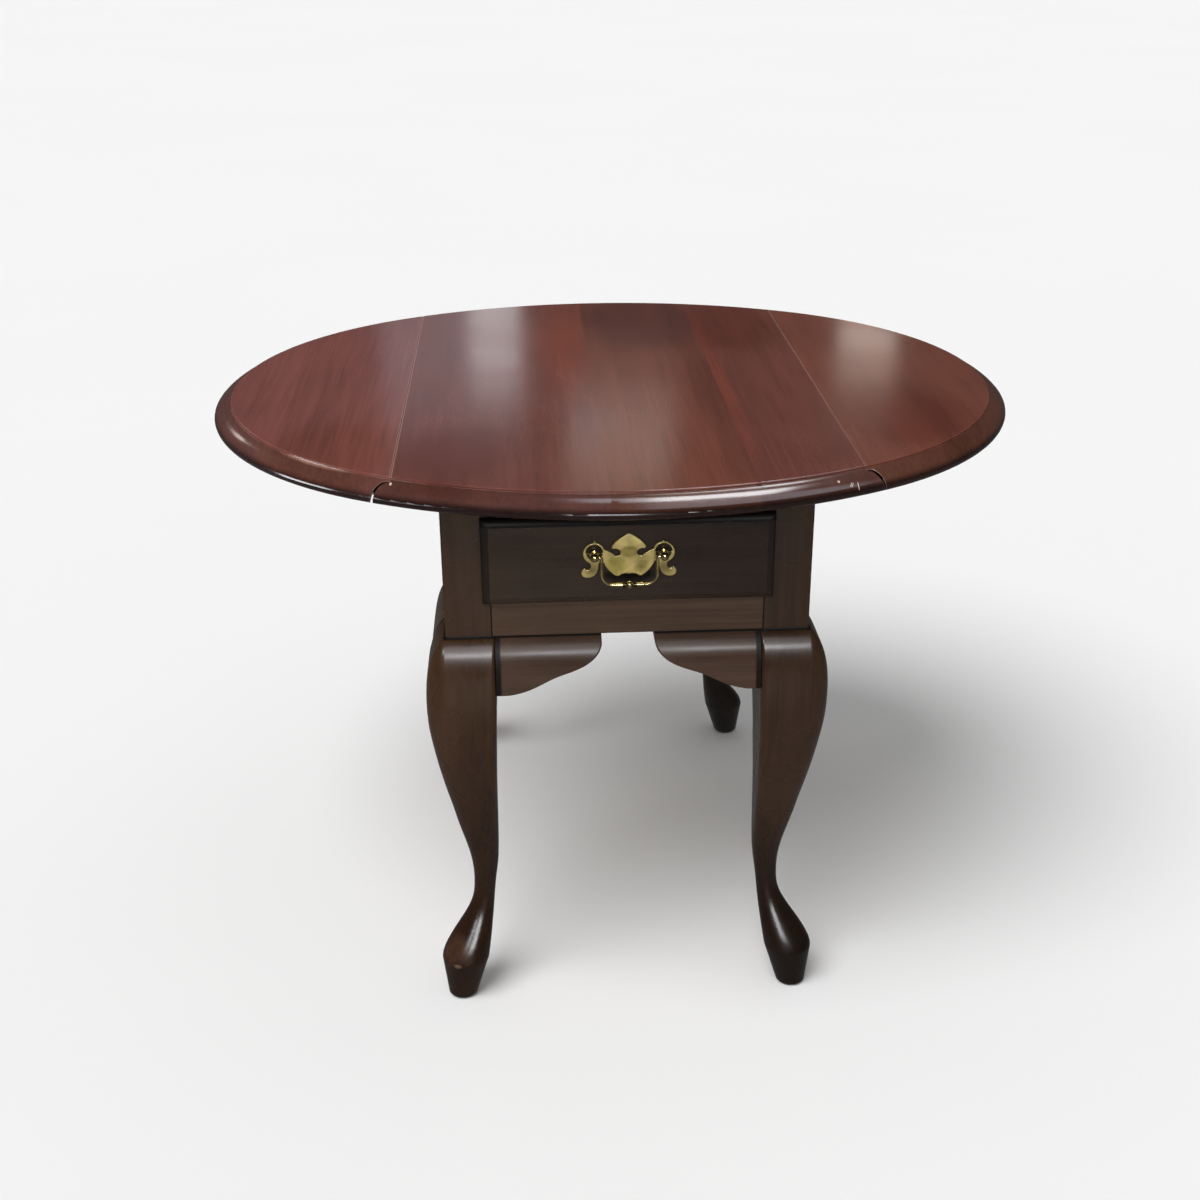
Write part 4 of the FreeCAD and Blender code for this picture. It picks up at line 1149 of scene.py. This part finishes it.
def hang(data: bpy.types.Light, at: Vector, toward: Vector, reach: Reach) -> bpy.types.Object:
    """Put a light in the scene.

    Args:
        data: the light.
        at: where it hangs.
        toward: what it points at.
        reach: what it acts on.

    Returns:
        The light's object.
    """
    lamp = bpy.data.objects.new(data.name, data)
    lamp.location = at
    lamp.rotation_euler = (toward - at).to_track_quat("-Z", "Y").to_euler()
    lamp.visible_camera = False
    lamp.visible_diffuse = reach is Reach.SURFACES
    lamp.visible_glossy = reach is Reach.GLOSS
    bpy.context.scene.collection.objects.link(lamp)
    log.info("hung %s", data.name)
    return lamp


WARM = (1.0, 0.90, 0.80)
AMBER = (1.0, 0.78, 0.52)
COOL = (0.80, 0.88, 1.0)
CENTRE = (0.0, 0.0, 0.5)
NOSE_LEFT = (-0.295, -0.25, 0.56)
NOSE_FRONT = (0.0, -0.34, 0.56)
KNEES = (0.0, -0.28, 0.39)
FOOT = (-0.16, -0.28, 0.07)
DRAWER = (0.0, -0.28, 0.49)
PANELS = (
    Panel("window_back_left", (-0.16, 2.42, 1.15), CENTRE, 0.13, 0.30, 1.45),
    Panel("haze_back_left", (-0.34, 2.42, 1.22), CENTRE, 0.24, 0.40, 0.35, COOL),
    Panel("glow_back", (0.15, 2.10, 1.31), CENTRE, 0.26, 0.13, 0.70),
    Panel("glow_warm", (0.14, 2.10, 1.43), CENTRE, 0.26, 0.12, 0.72, AMBER),
    Panel("window_back_right", (0.82, 2.39, 1.17), CENTRE, 0.15, 0.15, 1.75, WARM),
    Panel("panel_over", (0.56, 0.05, 2.40), (0.56, 0.05, 0.0), 0.70, 0.60, 17.0),
    Panel("panel_over_left", (0.05, 0.05, 2.40), (0.05, 0.05, 0.0), 0.34, 0.60, 4.4, COOL),
    Panel("panel_over_back", (0.55, 1.15, 2.40), (0.55, 1.15, 0.0), 0.62, 0.45, 12.0),
    Panel("haze_front", (1.05, -0.80, 2.40), (1.05, -0.80, 0.0), 1.7, 1.0, 2.4, COOL, Lit.TOP),
    Panel("window_left", (-2.40, -0.40, 0.34), NOSE_LEFT, 0.90, 0.50, 14.0, lit=Lit.TOP),
    Panel("window_far_left", (-1.78, 1.88, 1.60), NOSE_LEFT, 0.24, 0.24, 6.0, WARM),
    Panel("window_low_left", (-2.30, -1.78, 0.36), NOSE_LEFT, 0.60, 0.42, 9.0, lit=Lit.TOP),
    Panel("window_low", (-0.25, -3.10, 0.32), NOSE_FRONT, 0.95, 0.50, 16.0, lit=Lit.TOP),
    Panel("window_front", (0.15, -3.10, 1.78), KNEES, 1.02, 0.26, 46.0, lit=Lit.CASE),
    Panel("sky_front", (0.15, -3.10, 2.70), KNEES, 1.00, 1.30, 5.0, lit=Lit.CASE),
    Panel("window_front_left", (-1.20, -3.10, 2.65), FOOT, 0.70, 0.45, 26.0, lit=Lit.CASE),
    Panel("card_low", (0.03, -1.38, 0.05), DRAWER, 0.60, 0.45, 0.44, WARM))


@dataclass
class Studio:
    """Floor, lights and the camera."""

    floor_half: float = 30.0
    floor_tones: tuple[Colour, Colour] = ((0.90, 0.90, 0.90), (0.93, 0.93, 0.93))
    camera_at: Place = (-0.09284, -1.58107, 1.03552)
    yaw: float = math.radians(2.9925)
    pitch: float = math.radians(-24.686)
    roll: float = math.radians(-0.356)
    lens: float = 46.51
    sensor: float = 36.0
    shift: Range = (-0.0017, 0.0085)
    key_from: Place = (-1.6, -1.6, 4.25)
    key_power: float = 2.22
    key_spread: float = math.radians(40.0)
    room: float = 0.05
    room_low: float = 0.14
    room_rise: Range = (-0.55, 0.02)
    dome: float = 0.40
    backdrop: float = 0.88

    def floor(self) -> None:
        """Lay a plain pale floor."""
        mesh = bmesh.new()
        bmesh.ops.create_grid(mesh, x_segments=2, y_segments=2, size=self.floor_half)
        paint = FloorPaint("floor_paint", *self.floor_tones)
        floor = as_piece(mesh, "floor", paint.material())
        floor.visible_glossy = False

    def sky(self) -> None:
        """Soft dome on the surfaces, dim room in the gloss, pale backdrop to look at."""
        world = bpy.data.worlds.new("studio")
        world.use_nodes = True
        bpy.context.scene.world = world
        graph = Graph(world.node_tree)
        room = next(node for node in world.node_tree.nodes if node.type == "BACKGROUND")
        way = graph.add("ShaderNodeTexCoord").outputs["Generated"]
        rise = graph.add("ShaderNodeSeparateXYZ", {0: way}).outputs["Z"]
        graph.put(room, "Color", graph.remap(rise, *self.room_rise, self.room_low, self.room))
        dome = graph.add("ShaderNodeBackground", {"Color": (self.dome, self.dome, self.dome)})
        pale = graph.add("ShaderNodeBackground", {"Color": (self.backdrop, self.backdrop, self.backdrop)})
        path = graph.add("ShaderNodeLightPath")
        lit = graph.add("ShaderNodeMixShader", {0: path.outputs["Is Diffuse Ray"], 1: room.outputs[0],
                                                2: dome.outputs[0]})
        both = graph.add("ShaderNodeMixShader", {0: path.outputs["Is Camera Ray"], 1: lit.outputs[0],
                                                 2: pale.outputs[0]})
        output = next(node for node in world.node_tree.nodes if node.type == "OUTPUT_WORLD")
        world.node_tree.links.new(both.outputs[0], output.inputs["Surface"])

    def lights(self) -> None:
        """One broad soft key, and panels that show in the gloss."""
        key = bpy.data.lights.new("key", "SUN")
        key.energy = self.key_power
        key.angle = self.key_spread
        hang(key, Vector(self.key_from), Vector(CENTRE), Reach.SURFACES)
        for panel in PANELS:
            panel.light()

    def camera(self) -> None:
        """Stand the camera where the photograph was taken."""
        level_share = math.cos(self.pitch)
        forward = Vector((math.sin(self.yaw) * level_share, math.cos(self.yaw) * level_share,
                          math.sin(self.pitch)))
        level = Vector((math.cos(self.yaw), -math.sin(self.yaw), 0.0))
        above = level.cross(forward)
        right = level * math.cos(self.roll) + above * math.sin(self.roll)
        up = above * math.cos(self.roll) - level * math.sin(self.roll)
        data = bpy.data.cameras.new("camera")
        data.lens = self.lens
        data.sensor_width = self.sensor
        data.shift_x, data.shift_y = self.shift
        camera = bpy.data.objects.new("camera", data)
        turn = Matrix((right, up, -forward)).transposed().to_4x4()
        camera.matrix_world = Matrix.Translation(Vector(self.camera_at)) @ turn
        bpy.context.scene.collection.objects.link(camera)
        bpy.context.scene.camera = camera

    def build(self) -> None:
        """Set up floor, backdrop, lights, camera and plain colours."""
        self.floor()
        self.sky()
        self.lights()
        self.camera()
        bpy.context.scene.view_settings.view_transform = "Standard"
        log.info("studio is set")


def main() -> None:
    """Dress every sub-assembly, then light it."""
    logging.basicConfig(level=logging.INFO, format="%(name)s: %(message)s")
    for part in (TableTop(), Case(), Drawer(), Pull()):
        part.dress()
    Studio().build()


if __name__ == "__main__":
    main()
